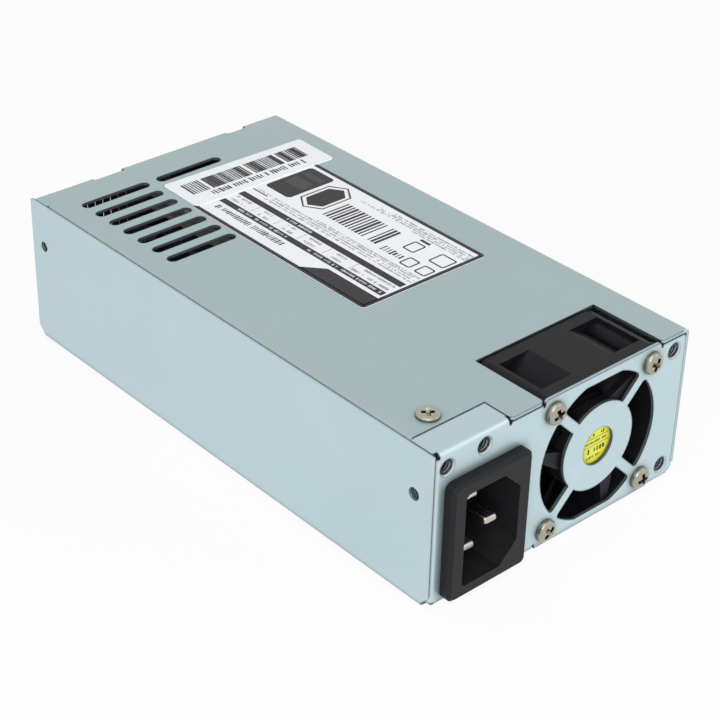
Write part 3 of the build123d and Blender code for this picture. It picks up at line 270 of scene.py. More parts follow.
def buildEdgeMask():
    inputs = {"Radius": 0.0004, "Gain": 6.0, "Least": 0.014, "Patch Scale": 400.0}
    tree, start, end = newGroup("edgeMask", inputs, ["Mask", "Lean"])
    rounded = addNode(tree, "ShaderNodeBevel", {"Radius": start["Radius"]}, samples=4).outputs[0]
    lean = less(tree, 1.0, vectorMaths(tree, "DOT_PRODUCT", surfaceNormal(tree), rounded)["Value"])
    # a fold leans a little too, and is left out
    tree.links.new(less(tree, lean, start["Least"]), end["Lean"])
    bent = times(tree, lean, start["Gain"], clamp=True)
    patches = mapped(tree, noise(tree, objectPlace(tree), start["Patch Scale"], 4.0), 0.4, 0.65)
    tree.links.new(times(tree, bent, patches, clamp=True), end["Mask"])
    return tree


def buildDust():
    inputs = {"Patch Scale": 90.0, "Speck Scale": 2500.0, "Level": 0.5}
    tree, start, end = newGroup("dust", inputs, ["Mask"])
    place = objectPlace(tree)
    upward = mapped(tree, parts(tree, surfaceNormal(tree))["Z"], 0.1, 0.9)
    patches = mapped(tree, noise(tree, place, start["Patch Scale"], 6.0), 0.4, 0.75)
    specks = mapped(tree, noise(tree, place, start["Speck Scale"], 2.0), 0.35, 0.7, 0.3)
    settled = times(tree, times(tree, upward, patches), specks)
    tree.links.new(times(tree, settled, start["Level"], clamp=True), end["Mask"])
    return tree


def buildScratches():
    inputs = {"Scale": 60.0, "Width": 0.03, "Patch Scale": 45.0}
    tree, start, end = newGroup("scratches", inputs, ["Mask"])
    place = objectPlace(tree)
    lines = []
    for turn, stretch in ((0.5, 14.0), (2.1, 20.0)):  # two directions
        inputs = {"Vector": place, "Rotation": (0.3, 0.2, turn), "Scale": (1.0, stretch, 1.0)}
        drawn = addNode(tree, "ShaderNodeMapping", inputs).outputs[0]
        off = maths(tree, "ABSOLUTE", less(tree, noise(tree, drawn, start["Scale"], 2.0), 0.5))
        lines.append(less(tree, 1.0, maths(tree, "DIVIDE", off, start["Width"]), clamp=True))
    patches = mapped(tree, noise(tree, place, start["Patch Scale"], 2.0), 0.5, 0.7)
    tree.links.new(times(tree, maths(tree, "MAXIMUM", *lines), patches, clamp=True), end["Mask"])
    return tree


# Painted shade: ambient occlusion darkens the colour in corners, recesses and between parts
def buildPaintedShade():
    tree, start, end = newGroup("paintedShade", {"Reach": 0.001}, ["Mask"])
    clear = addNode(tree, "ShaderNodeAmbientOcclusion", {"Distance": start["Reach"]}, samples=6).outputs["AO"]
    tree.links.new(mapped(tree, clear, 0.4, 0.92, 1.0, 0.0), end["Mask"])
    return tree


def buildCutWallMasks():
    inputs = {
        "Top": 0.0397, "Rear": -0.0733, "Side": 0.0402, "Bottom": 0.0006,
        "Steepest": 0.35, "Seam Width": 0.0014, "Seam Height": 1.0,
    }
    tree, start, end = newGroup("cutWallShade", inputs, ["Wall", "Inside", "Seam"])
    normal = parts(tree, surfaceNormal(tree))
    place = parts(tree, objectPlace(tree))
    # the outermost edges of the sheets stay out
    aside = maths(tree, "ABSOLUTE", place["X"])
    narrow = maths(tree, "LESS_THAN", aside, start["Side"])
    inside = times(tree, narrow, above(tree, place["Z"], start["Bottom"]))
    upper = above(tree, place["Z"], start["Top"])
    behind = above(tree, place["Y"], start["Rear"])
    walls = []
    for axis, first, second in (("Z", upper, behind), ("Y", less(tree, 1.0, upper), less(tree, 1.0, behind))):
        across = maths(tree, "LESS_THAN", maths(tree, "ABSOLUTE", normal[axis]), start["Steepest"])
        walls.append(times(tree, across, times(tree, first, second)))
    tree.links.new(times(tree, maths(tree, "MAXIMUM", *walls), inside), end["Wall"])
    tree.links.new(inside, end["Inside"])
    # where the folds of the two sheets meet
    outer = above(tree, aside, less(tree, start["Side"], start["Seam Width"]))
    high = above(tree, place["Z"], start["Seam Height"])
    tree.links.new(maths(tree, "MAXIMUM", outer, high), end["Seam"])
    return tree


# Painted highlight on the bends: the colour is lighter where the normal lies between the axes
def buildFoldHighlight():
    tree, start, end = newGroup("foldHighlight", {"Gain": 3.4}, ["Mask"])
    normal = parts(tree, vectorMaths(tree, "ABSOLUTE", surfaceNormal(tree))[0])
    facing = maths(tree, "MAXIMUM", maths(tree, "MAXIMUM", normal["X"], normal["Y"]), normal["Z"])
    tree.links.new(times(tree, less(tree, 1.0, facing), start["Gain"], clamp=True), end["Mask"])
    return tree


def useGroup(tree, group, inputs=None):
    return addNode(tree, "ShaderNodeGroup", inputs, node_tree=group).outputs


grainGroup = buildGrain()
cutWallMaskGroup = buildCutWallMasks()
foldHighlightGroup = buildFoldHighlight()
paintedShadeGroup = buildPaintedShade()
edgeMaskGroup = buildEdgeMask()
dustGroup = buildDust()
scratchGroup = buildScratches()

# Finishes: every slot of the record has its own numbers

plainFinish = {
    "shade": 0.85,  # how dark the cloudy parts are beside the colour
    "scale": 900.0,
    "stretch": (1.0, 1.0, 1.0),
    "fine": 6.0,  # how many times finer the fine grain is
    "fineShare": 0.5,
    "rough": (0.35, 0.5),
    "metallic": 0.0,
    "bump": 0.15,
    "bumpDepth": 0.00005,
    "wearAndGlint": 0.0,
    "wearAndGlintShine": 0.1,  # what is taken off the roughness
    "wearAndHighlightColour": (0.3, 0.3, 0.3),
    "dust": 0.0,
    "dustColour": (0.42, 0.40, 0.37),
    "dustRough": 0.9,
    "scratch": 0.0,
    "scratchShine": 0.08,
    "scratchDepth": 0.6,
    "paintedEdgeLine": 0.0,
    "cutReach": 0.0003,
    "cutGain": 8.0,
    "cutWallShade": 0.0,
    "seam": 0.0,
    "seamHeight": 1.0,
    "paintedSeamColour": (0.02, 0.02, 0.02),
    "foldHighlight": 0.0,  # how much lighter the bends are painted: a painted highlight
    "foldHighlightShine": 0.2,
    "paintedShade": 0.0,
    "paintedShadeReach": 0.001,
    "paintedShadeColour": (0.02, 0.02, 0.02),
    "coat": 0.0,
    "specular": 0.5,
    "opacity": 1.0,
}
sheetSkin = 0.79 * mm  # a hair under the sheet's thickness
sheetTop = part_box("cover")[1].z - sheetSkin
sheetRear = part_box("tray")[0].y + sheetSkin

# sheet steel: painted shade in recesses and cut walls, painted dark edge lines, painted highlights on bends
sheetBase = dict(
    shade=0.955, fine=30.0, rough=(0.36, 0.42), metallic=0.6, bump=0.05, bumpDepth=0.00002, dust=0.05,
    paintedShade=0.8, paintedShadeReach=0.0024, paintedEdgeLine=0.85, cutWallShade=0.7, foldHighlight=0.45)
canBase = dict(shade=0.8, scale=200.0, stretch=(1.0, 1.0, 5.0), rough=(0.18, 0.3), coat=0.3, dust=0.12)
leadBase = dict(scale=600.0, bump=0.1, dust=0.1)
inkBase = dict(scale=700.0, bump=0.05, bumpDepth=0.00001)

finishes = {
    # its light seam colour paints a highlight along the cover's edge by the seam
    "case_steel": dict(
        sheetBase, colour=(0.368, 0.468, 0.478), scale=55.0, wearAndHighlightColour=(0.66, 0.70, 0.70), scratch=0.05,
        cutReach=0.0005, seam=40.0, paintedSeamColour=(0.74, 0.78, 0.78)),
    # a lighter, bluer copy of the case steel: painted light on the tray's sides; its dark seam line is painted
    # shade
    "trayLitSteel": dict(
        sheetBase, colour=(0.455, 0.578, 0.615), scale=50.0, wearAndHighlightColour=(0.70, 0.76, 0.78), scratch=0.04,
        cutReach=0.0006, seam=70.0, seamHeight=0.0391),
    # near-black steel standing in for the shade inside the tapped holes, with painted shade deep in them and
    # painted glints on the thread ridges
    "tapShadeSteel": dict(
        colour=(0.085, 0.088, 0.09), shade=0.6, scale=2500.0, rough=(0.2, 0.34), metallic=1.0, bump=0.3,
        bumpDepth=0.00002, wearAndGlint=0.5, wearAndHighlightColour=(0.4, 0.42, 0.43), paintedShade=0.95, paintedShadeReach=0.003),
    "black_plastic": dict(
        colour=(0.0115, 0.0115, 0.013), shade=0.8, fine=3.0, rough=(0.38, 0.5), bump=0.25,
        wearAndGlint=0.5, wearAndHighlightColour=(0.04, 0.04, 0.044), dust=0.02, specular=0.16),
    "fan_plastic": dict(
        colour=(0.0075, 0.0075, 0.0095), shade=0.75, scale=700.0, rough=(0.32, 0.44), wearAndGlint=0.4,
        wearAndHighlightColour=(0.035, 0.035, 0.04), dust=0.01, specular=0.13),
    # brownish painted shade in the cross recess
    "screw_steel": dict(
        colour=(0.46, 0.44, 0.36), shade=0.8, scale=1500.0, rough=(0.2, 0.32), metallic=1.0, bump=0.2,
        bumpDepth=0.00002, wearAndGlint=0.6, wearAndHighlightColour=(0.76, 0.74, 0.66), paintedShade=0.92, paintedShadeReach=0.0016,
        paintedShadeColour=(0.03, 0.026, 0.02)),
    "label_white": dict(
        colour=(0.855, 0.875, 0.895), shade=0.97, scale=180.0, fine=12.0, rough=(0.32, 0.42), bump=0.06,
        bumpDepth=0.00001, coat=0.15, dust=0.04),
    "label_yellow": dict(
        colour=(0.58, 0.575, 0.043), shade=0.92, scale=500.0, bump=0.08, bumpDepth=0.00001),
    "pin_metal": dict(
        colour=(0.62, 0.60, 0.55), shade=0.82, scale=600.0, stretch=(1.0, 0.1, 1.0), rough=(0.2, 0.34),
        metallic=1.0, wearAndGlint=0.5, wearAndHighlightColour=(0.8, 0.78, 0.72)),
    "board_green": dict(colour=(0.02, 0.1, 0.045), shade=0.7, rough=(0.25, 0.4), bump=0.2, coat=0.2),
    "board_brown": dict(colour=(0.26, 0.16, 0.07), shade=0.82, scale=700.0, rough=(0.45, 0.6), dust=0.2),
    "film": dict(colour=(0.03, 0.03, 0.035), scale=150.0, rough=(0.2, 0.32), coat=0.2, dust=0.15),
    "bearing_metal": dict(colour=(0.5, 0.34, 0.16), scale=1800.0, metallic=1.0, bump=0.3),
    "shaft_steel": dict(
        colour=(0.66, 0.66, 0.67), shade=0.9, scale=1200.0, stretch=(1.0, 8.0, 1.0), rough=(0.12, 0.2),
        metallic=1.0),
    "core_steel": dict(
        colour=(0.30, 0.30, 0.31), shade=0.7, scale=600.0, stretch=(0.1, 12.0, 0.1), metallic=0.9, bump=0.5),
    "magnet": dict(colour=(0.05, 0.045, 0.045), scale=1500.0, rough=(0.6, 0.75), bump=0.4),
    "copper": dict(
        colour=(0.55, 0.22, 0.08), shade=0.6, stretch=(1.0, 9.0, 1.0), rough=(0.2, 0.32), metallic=1.0,
        bump=0.8, bumpDepth=0.0001, coat=0.4),
    "choke_winding": dict(
        colour=(0.50, 0.2, 0.07), shade=0.65, scale=500.0, rough=(0.22, 0.35), metallic=0.9, coat=0.4, dust=0.15),
    "core_ferrite": dict(
        colour=(0.035, 0.035, 0.04), scale=800.0, rough=(0.5, 0.65), bump=0.3, wearAndGlint=0.4, dust=0.15),
    "tape": dict(
        colour=(0.62, 0.45, 0.06), scale=300.0, stretch=(1.0, 1.0, 6.0), rough=(0.25, 0.4), bump=0.5,
        bumpDepth=0.0001, coat=0.2),
    "film_capacitor": dict(
        colour=(0.6, 0.5, 0.1), shade=0.9, scale=500.0, rough=(0.3, 0.45), coat=0.1, dust=0.15),
    "film_capacitor_red": dict(
        colour=(0.30, 0.05, 0.03), scale=400.0, rough=(0.18, 0.3), coat=0.4, dust=0.12),
    "relay": dict(colour=(0.03, 0.08, 0.22), shade=0.88, scale=600.0, rough=(0.3, 0.42), dust=0.12),
    "disc_blue": dict(colour=(0.04, 0.14, 0.36), scale=450.0, rough=(0.22, 0.36), coat=0.3),
    "can_black": dict(canBase, colour=(0.02, 0.02, 0.026)),
    "can_blue": dict(canBase, colour=(0.03, 0.05, 0.13)),
    "fuse_glass": dict(
        colour=(0.75, 0.8, 0.8), shade=0.95, scale=400.0, rough=(0.04, 0.1), opacity=0.35, coat=0.3),
    "clip_metal": dict(colour=(0.6, 0.56, 0.42), rough=(0.22, 0.36), metallic=1.0, wearAndGlint=0.4),
    "heatsink": dict(
        colour=(0.70, 0.71, 0.72), scale=260.0, stretch=(1.0, 0.05, 6.0), rough=(0.3, 0.45), metallic=0.6,
        bump=0.3, dust=0.2),
    "package": dict(colour=(0.025, 0.025, 0.027), scale=1600.0, rough=(0.5, 0.65), bump=0.4),
    "nylon_white": dict(colour=(0.7, 0.68, 0.6), shade=0.93, scale=500.0, dust=0.1),
    "lead_black": dict(leadBase, colour=(0.015, 0.015, 0.016)),
    "lead_brown": dict(leadBase, colour=(0.14, 0.05, 0.02)),
    "lead_blue": dict(leadBase, colour=(0.02, 0.08, 0.3)),
    "lead_green": dict(leadBase, colour=(0.07, 0.28, 0.05), shade=0.9),
    "ink": dict(inkBase, colour=(0.03, 0.03, 0.033), rough=(0.4, 0.55), specular=0.2),
    "badgeInk": dict(
        inkBase, colour=(0.085, 0.083, 0.075), shade=0.45, scale=900.0, fine=2.0, rough=(0.4, 0.55), specular=0.2),
    "paleInk": dict(inkBase, colour=(0.27, 0.28, 0.29), shade=0.9),
    "reversedInk": dict(inkBase, colour=(0.7, 0.71, 0.72), shade=0.93),
}
litCopyFinish = {"tray": "trayLitSteel"}  # the tray gets a lighter, bluer copy of the case steel: painted light on its sides


def buildFinish(name, changes):
    values = {**plainFinish, **changes}
    material = bpy.data.materials.new(name)
    tree = emptyTree(material)
    colour, paintedShade = values["colour"], values["paintedShadeColour"]
    inputs = {"Scale": values["scale"], "Stretch": values["stretch"], "Fine": values["fine"]}
    grain = useGroup(tree, grainGroup, inputs)
    shaded = tuple(c * values["shade"] for c in colour)
    base = mixedColour(tree, grain["Value"], shaded, colour)
    base = mixedColour(tree, times(tree, grain["Fine Value"], values["fineShare"]), base, shaded)
    rough = mapped(tree, grain["Value"], 0.0, 1.0, *values["rough"])
    height = grain["Fine Value"]
    if values["scratch"]:
        scratch = useGroup(tree, scratchGroup)["Mask"]
        base = mixedColour(tree, times(tree, scratch, values["scratch"]), base, values["wearAndHighlightColour"])
        rough = less(tree, rough, times(tree, scratch, values["scratchShine"]), clamp=True)
        height = less(tree, height, times(tree, scratch, values["scratchDepth"]))
    # edge wear (on the tap steel a painted glint on the thread ridges) and the painted highlight on bends
    for key, group in (("wearAndGlint", edgeMaskGroup), ("foldHighlight", foldHighlightGroup)):
        if values[key]:
            mask = times(tree, useGroup(tree, group)["Mask"], values[key])
            base = mixedColour(tree, mask, base, values["wearAndHighlightColour"])
            rough = less(tree, rough, times(tree, mask, values[key + "Shine"]), clamp=True)
    # cut walls of the sheets painted near-black: painted shade in the slots and holes, partly the duller raw steel
    # of a cut face
    if values["cutWallShade"]:
        inputs = {"Top": sheetTop, "Rear": sheetRear, "Seam Height": values["seamHeight"]}
        cut = useGroup(tree, cutWallMaskGroup, inputs)
        base = mixedColour(tree, times(tree, cut["Wall"], values["cutWallShade"]), base, paintedShade)
        # painted edge lines: dark painted shade along cut edges and seams, and on the cover a light painted
        # highlight along the seam
        gain = maths(tree, "ADD", values["cutGain"], times(tree, cut["Seam"], values["seam"]))
        lean = useGroup(tree, edgeMaskGroup, {"Radius": values["cutReach"]})["Lean"]
        edge = times(tree, times(tree, lean, gain, clamp=True), cut["Inside"])
        rim = mixedColour(tree, cut["Seam"], paintedShade, values["paintedSeamColour"])
        base = mixedColour(tree, times(tree, edge, values["paintedEdgeLine"]), base, rim)
    # painted shade in corners, recesses and between parts
    if values["paintedShade"]:
        deep = useGroup(tree, paintedShadeGroup, {"Reach": values["paintedShadeReach"]})["Mask"]
        base = mixedColour(tree, times(tree, deep, values["paintedShade"]), base, paintedShade)
    if values["dust"]:
        settled = useGroup(tree, dustGroup, {"Level": values["dust"]})["Mask"]
        base = mixedColour(tree, settled, base, values["dustColour"])
        rough = mapped(tree, settled, 0.0, 1.0, rough, values["dustRough"])
    inputs = {"Strength": values["bump"], "Distance": values["bumpDepth"], "Height": height}
    bump = addNode(tree, "ShaderNodeBump", inputs)
    shader = addNode(tree, "ShaderNodeBsdfPrincipled", {
        "Base Color": base,
        "Roughness": rough,
        "Metallic": values["metallic"],
        "Normal": bump.outputs[0],
        "Coat Weight": values["coat"],
        "Specular IOR Level": values["specular"],
        "Alpha": values["opacity"],
    })
    addNode(tree, "ShaderNodeOutputMaterial", {0: shader.outputs[0]})
    return material


finishOf = {name: buildFinish(name, changes) for name, changes in finishes.items()}
for name, node in nodes.items():
    slot = node.data.materials[0].name.split(".")[0]
    node.data.materials.clear()
    node.data.materials.append(finishOf[litCopyFinish.get(name, slot)])
print("finishes built:", len(finishOf))

# Pieces: every one rides on the case


def carried(piece, slot, *replaced):
    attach(piece, "case")
    if replaced:
        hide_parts(*replaced)


def madeOfFaces(name, mesh, finish, slot, *replaced):
    data = bpy.data.meshes.new(name)
    mesh.to_mesh(data)
    mesh.free()
    data.materials.append(finishOf[finish])
    carried(linked(name, data), slot, *replaced)


def madeByTree(name, mesh, tree, values, finish, slot, *replaced):
    piece = linked(name, mesh)
    modifier = piece.modifiers.new("tree", "NODES")
    modifier.node_group = tree
    values = {**values, "Finish": finishOf[finish]}
    for socket in tree.interface.items_tree:
        if socket.in_out == "INPUT" and socket.name in values:
            modifier[socket.identifier] = values[socket.name]
    bpy.context.view_layer.update()
    evaluated = piece.evaluated_get(bpy.context.evaluated_depsgraph_get())
    result = bpy.data.meshes.new_from_object(evaluated)
    piece.modifiers.clear()
    piece.data = result
    result.name = name
    result.materials.clear()
    result.materials.append(finishOf[finish])
    carried(piece, slot, *replaced)
    print(" ", name, len(result.polygons), "faces")


def pointsMesh(rows):
    mesh = bpy.data.meshes.new("points")
    mesh.from_pydata([row[0] for row in rows], [], [])
    mesh.attributes.new("axis", "FLOAT_VECTOR", "POINT")
    mesh.attributes.new("turn", "FLOAT", "POINT")
    for index, (place, axis, turn) in enumerate(rows):
        mesh.attributes["axis"].data[index].vector = axis
        mesh.attributes["turn"].data[index].value = turn
    return mesh


def linesMesh(lines):
    mesh = bpy.data.meshes.new("lines")
    edges = [(2 * k, 2 * k + 1) for k in range(len(lines))]
    mesh.from_pydata([end for line in lines for end in line], edges, [])
    return mesh


def roundedOutline(middle, half, rounding):
    steps = 5
    points = []
    for corner, (x, y) in enumerate(((1, 1), (-1, 1), (-1, -1), (1, -1))):
        for step in range(steps + 1):
            angle = math.radians(90 * (corner + step / steps))
            points.append((
                middle[0] + x * (half[0] - rounding) + rounding * math.cos(angle),
                middle[1] + y * (half[1] - rounding) + rounding * math.sin(angle),
            ))
    return points


# Trees that make what repeats


def buildTree(name, sizes):
    inputs = {"Geometry": "NodeSocketGeometry", **sizes, "Finish": "NodeSocketMaterial"}
    return newGroup(name, inputs, ["Geometry"], "GeometryNodeTree", "NodeSocketGeometry")


def endTree(tree, start, end, shape, sharpAngle=0.6):
    real = addNode(tree, "GeometryNodeRealizeInstances", {0: shape}).outputs[0]
    angle = addNode(tree, "GeometryNodeInputMeshEdgeAngle").outputs[0]
    soft = addNode(tree, "FunctionNodeCompare", {0: angle, 1: sharpAngle}, operation="LESS_THAN").outputs[0]
    inputs = {"Geometry": real, "Shade Smooth": True}
    smooth = addNode(tree, "GeometryNodeSetShadeSmooth", inputs).outputs[0]
    inputs = {"Geometry": smooth, "Shade Smooth": soft}
    edged = addNode(tree, "GeometryNodeSetShadeSmooth", inputs, domain="EDGE").outputs[0]
    inputs = {"Geometry": edged, "Material": start["Finish"]}
    tree.links.new(addNode(tree, "GeometryNodeSetMaterial", inputs).outputs[0], end["Geometry"])


def joined(tree, *shapes):
    join = addNode(tree, "GeometryNodeJoinGeometry")
    for shape in shapes:
        tree.links.new(shape, join.inputs[0])
    return join.outputs[0]


def lifted(tree, shape, height):
    inputs = {"Geometry": shape, "Translation": vector(tree, 0.0, 0.0, height)}
    return addNode(tree, "GeometryNodeTransform", inputs).outputs[0]


def position(tree):
    return addNode(tree, "GeometryNodeInputPosition").outputs[0]


def shaped(tree, shape, x, y, z):
    inputs = {"Geometry": shape, "Position": vector(tree, x, y, z)}
    return addNode(tree, "GeometryNodeSetPosition", inputs).outputs[0]


def circle(tree, corners, radius):
    inputs = {"Resolution": corners, "Radius": radius}
    return addNode(tree, "GeometryNodeCurvePrimitiveCircle", inputs).outputs[0]


def swept(tree, curve, profile, caps=False):
    inputs = {"Curve": curve, "Profile Curve": profile, "Fill Caps": caps}
    return addNode(tree, "GeometryNodeCurveToMesh", inputs).outputs[0]


def unitCube(tree):
    return addNode(tree, "GeometryNodeMeshCube", {"Size": (1, 1, 1)}).outputs["Mesh"]


def onPoints(tree, points, shape, rotation, more=None):
    inputs = {"Points": points, "Instance": shape, "Rotation": rotation, **(more or {})}
    return addNode(tree, "GeometryNodeInstanceOnPoints", inputs).outputs[0]


def alongAxes(tree, first, second, axes):
    inputs = {"Primary Axis": first, "Secondary Axis": second}
    settings = {"primary_axis": axes[0], "secondary_axis": axes[1]}
    return addNode(tree, "FunctionNodeAxesToRotation", inputs, **settings).outputs[0]


def attribute(tree, name, kind):
    return addNode(tree, "GeometryNodeInputNamedAttribute", {"Name": name}, data_type=kind).outputs[0]


def standing(tree, points, shape):
    inputs = {"Vector": attribute(tree, "axis", "FLOAT_VECTOR")}
    upright = addNode(tree, "FunctionNodeAlignRotationToVector", inputs, axis="Z").outputs[0]
    inputs = {"Axis": (0, 0, 1), "Angle": attribute(tree, "turn", "FLOAT")}
    twist = addNode(tree, "FunctionNodeAxisAngleToRotation", inputs).outputs[0]
    inputs = {"Rotation": upright, "Rotate By": twist}
    rotation = addNode(tree, "FunctionNodeRotateRotation", inputs, rotation_space="LOCAL").outputs[0]
    return onPoints(tree, points, shape, rotation)


# Screws with domed heads and a cross recess

fanScrews = {
    "pitch": 32.0 * mm,
    "solidHeight": 1.9 * mm,  # of the heads whose box is read from the frame
    "turns": (0.35, 1.15, 0.7, 0.1),  # how far each cross is turned
    "sizes": {
        "Head Radius": 2.8 * mm, "Head Height": 1.8 * mm, "Crown": 0.6,
        "Cross Span": 6.0 * mm, "Cross Width": 1.35 * mm, "Cross Depth": 1.5 * mm, "Cross Taper": 0.2,
        "Shank Radius": 1.7 * mm, "Shank Length": 8.9 * mm},
}
coverScrews = {
    "topPlace": (10.3, 12.4),  # from the left and from the rear
    "farPlace": (15.0, 0.0),
    "solidRadius": 3.0 * mm,
    "turns": (0.9, 0.2, 1.3),
    "sizes": {
        "Head Radius": 2.8 * mm, "Head Height": 0.88 * mm, "Crown": 0.5,
        "Cross Span": 4.9 * mm, "Cross Width": 1.25 * mm, "Cross Depth": 0.75 * mm, "Cross Taper": 0.3,
        "Shank Radius": 1.3 * mm, "Shank Length": 3.2 * mm},
}


def buildScrewTree(sizes):
    tree, start, end = buildTree("domedScrew", sizes)
    height = start["Head Height"]
    # the head is a grid wound round its axis: crown, then flat underside
    inputs = {"Size X": 1.0, "Size Y": 1.0, "Vertices X": 49, "Vertices Y": 19}
    grid = addNode(tree, "GeometryNodeMeshGrid", inputs).outputs["Mesh"]
    place = parts(tree, position(tree))
    around = times(tree, maths(tree, "ADD", place["X"], 0.5), -2 * math.pi)
    along = maths(tree, "ADD", place["Y"], 0.5)
    crownPart, sideTaper, shankDrop = 0.78, 0.35, -0.49
    swing = times(tree, maths(tree, "DIVIDE", along, crownPart, clamp=True), math.pi / 2)
    out, up = (
        maths(tree, "POWER", maths(tree, "MAXIMUM", maths(tree, wave, swing), 0.0), start["Crown"])
        for wave in ("SINE", "COSINE")
    )
    under = less(tree, 1.0, mapped(tree, along, crownPart, 1.0))
    reach = times(tree, times(tree, out, under), start["Head Radius"])
    x = times(tree, reach, maths(tree, "COSINE", around))
    y = times(tree, reach, maths(tree, "SINE", around))
    inputs = {"Geometry": shaped(tree, grid, x, y, times(tree, up, height)), "Distance": 0.001 * mm}
    head = addNode(tree, "GeometryNodeMergeByDistance", inputs).outputs[0]
    # the recess: two tapered wings
    cut = addNode(tree, "GeometryNodeMeshBoolean", {"Mesh 1": head}, operation="DIFFERENCE", solver="EXACT")
    for turned in (False, True):
        cube = unitCube(tree)
        place = parts(tree, position(tree))
        narrow = mapped(tree, place["Z"], -0.5, 0.5, start["Cross Taper"])
        span = times(tree, narrow, start["Cross Span"])
        width = times(tree, maths(tree, "POWER", narrow, sideTaper), start["Cross Width"])
        sides = (width, span) if turned else (span, width)
        depth = times(tree, times(tree, place["Z"], 2.0), start["Cross Depth"])
        x, y = times(tree, place["X"], sides[0]), times(tree, place["Y"], sides[1])
        wing = shaped(tree, cube, x, y, maths(tree, "ADD", height, depth))
        tree.links.new(wing, cut.inputs["Mesh 2"])
    inputs = {"Vertices": 24, "Radius": start["Shank Radius"], "Depth": start["Shank Length"]}
    shank = addNode(tree, "GeometryNodeMeshCylinder", inputs).outputs["Mesh"]
    shank = lifted(tree, shank, times(tree, start["Shank Length"], shankDrop))
    endTree(tree, start, end, standing(tree, start["Geometry"], joined(tree, cut.outputs["Mesh"], shank)))
    return tree


def addScrews(fan, cover):
    tree = buildScrewTree(fan["sizes"])
    low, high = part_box("fan_screws")
    middle, half = (low + high) / 2, fan["pitch"] / 2
    rearFace = low.y + fan["solidHeight"]
    rows = [
        ((middle.x + x * half, rearFace, middle.z + z * half), (0, -1, 0), turn)
        for turn, (x, z) in zip(fan["turns"], ((-1, 1), (1, 1), (-1, -1), (1, -1)))
    ]
    look = "screw_steel"
    madeByTree("fanScrewSet", pointsMesh(rows), tree, fan["sizes"], look, look, "fan_screws")

    low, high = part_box("cover_screws")
    radius = cover["solidRadius"]
    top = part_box("cover")[1].z
    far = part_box("cover")[1].y
    topSpot, farSpot = spot(*cover["topPlace"]), spot(*cover["farPlace"])
    rows = [
        ((topSpot.x, topSpot.y, top), (0, 0, 1), cover["turns"][0]),
        ((farSpot.x, far, low.z + radius), (0, 1, 0), cover["turns"][1]),
        ((high.x - radius, far, low.z + radius), (0, 1, 0), cover["turns"][2]),
    ]
    madeByTree("coverScrewSet", pointsMesh(rows), tree, cover["sizes"], look, look, "cover_screws")


addScrews(fanScrews, coverScrews)
print("screws made")

# Inlet pins with rounded tips

inletPins = {
    "width": 4.0 * mm,
    "thickness": 2.0 * mm,
    "corner": 0.55 * mm,
    "cornerMost": 0.95,  # of half the thickness
    # mm back from the tip, mm taken off the width
    "nose": [(0.0, 1.3), (0.12, 0.85), (0.35, 0.45), (0.7, 0.15), (1.2, 0.0)],
}


def addPins(name, node, places, values):
    low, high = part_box(node)
    mesh = bmesh.new()
    for x, z in places:
        rings = []
        for back, taken in [*values["nose"], ((high.y - low.y) / mm, 0.0)]:
            half = (values["width"] / 2 - taken * mm / 2, values["thickness"] / 2 - taken * mm / 2)
            outline = roundedOutline((x, z), half, min(values["corner"], half[1] * values["cornerMost"]))
            rings.append([mesh.verts.new((a, low.y + back * mm, b)) for a, b in outline])
        for first, second in zip(rings, rings[1:]):
            for k in range(len(first)):
                face = mesh.faces.new((first[k - 1], first[k], second[k], second[k - 1]))
                face.smooth = True
        mesh.faces.new(rings[0])
        mesh.faces.new(rings[-1])
    bmesh.ops.recalc_face_normals(mesh, faces=mesh.faces[:])
    madeOfFaces(name, mesh, "pin_metal", "pin_metal", node)


def pinPlaces(node, half):
    low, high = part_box(node)
    return [((low.x + high.x) / 2, z) for z in sorted({low.z + half, high.z - half})]


addPins("powerPins", "inlet_power_pins", pinPlaces("inlet_power_pins", inletPins["thickness"] / 2), inletPins)
low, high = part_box("inlet_earth_pin")
addPins("earthPin", "inlet_earth_pin", [((low.x + high.x) / 2, (low.z + high.z) / 2)], inletPins)
print("pins made")

# Threads in the tapped holes, whose places are in the record

tapThread = {
    "sink": 0.1 * mm,
    "lead": 0.45 * mm,  # how far the turns reach into a flared mouth
    "start": 0.32 * mm,  # how deep they start in a plain one
    "sizes": {
        "Radius": 1.4 * mm, "Length": 1.6 * mm, "Pitch": 0.79 * mm, "Ridge": 0.2 * mm,
        "Collar Radius": 1.65 * mm, "Collar Width": 0.28 * mm, "Collar Depth": 0.03 * mm},
}


def buildThreadTree(sizes):
    tree, start, end = buildTree("tapThread", sizes)
    inputs = {
        "Resolution": 28,
        "Rotations": maths(tree, "DIVIDE", start["Length"], start["Pitch"]),
        "Start Radius": start["Radius"],
        "End Radius": start["Radius"],
        "Height": start["Length"],
    }
    helix = addNode(tree, "GeometryNodeCurveSpiral", inputs).outputs[0]
    thread = swept(tree, helix, circle(tree, 4, start["Ridge"]), caps=True)
    # a dark collar just under the mouth: painted shade over the flare of the mouth
    collar = swept(tree, circle(tree, 40, start["Collar Radius"]), circle(tree, 8, start["Collar Width"]))
    collar = lifted(tree, collar, start["Collar Depth"])
    endTree(tree, start, end, standing(tree, start["Geometry"], joined(tree, thread, collar)), sharpAngle=1.2)
    return tree


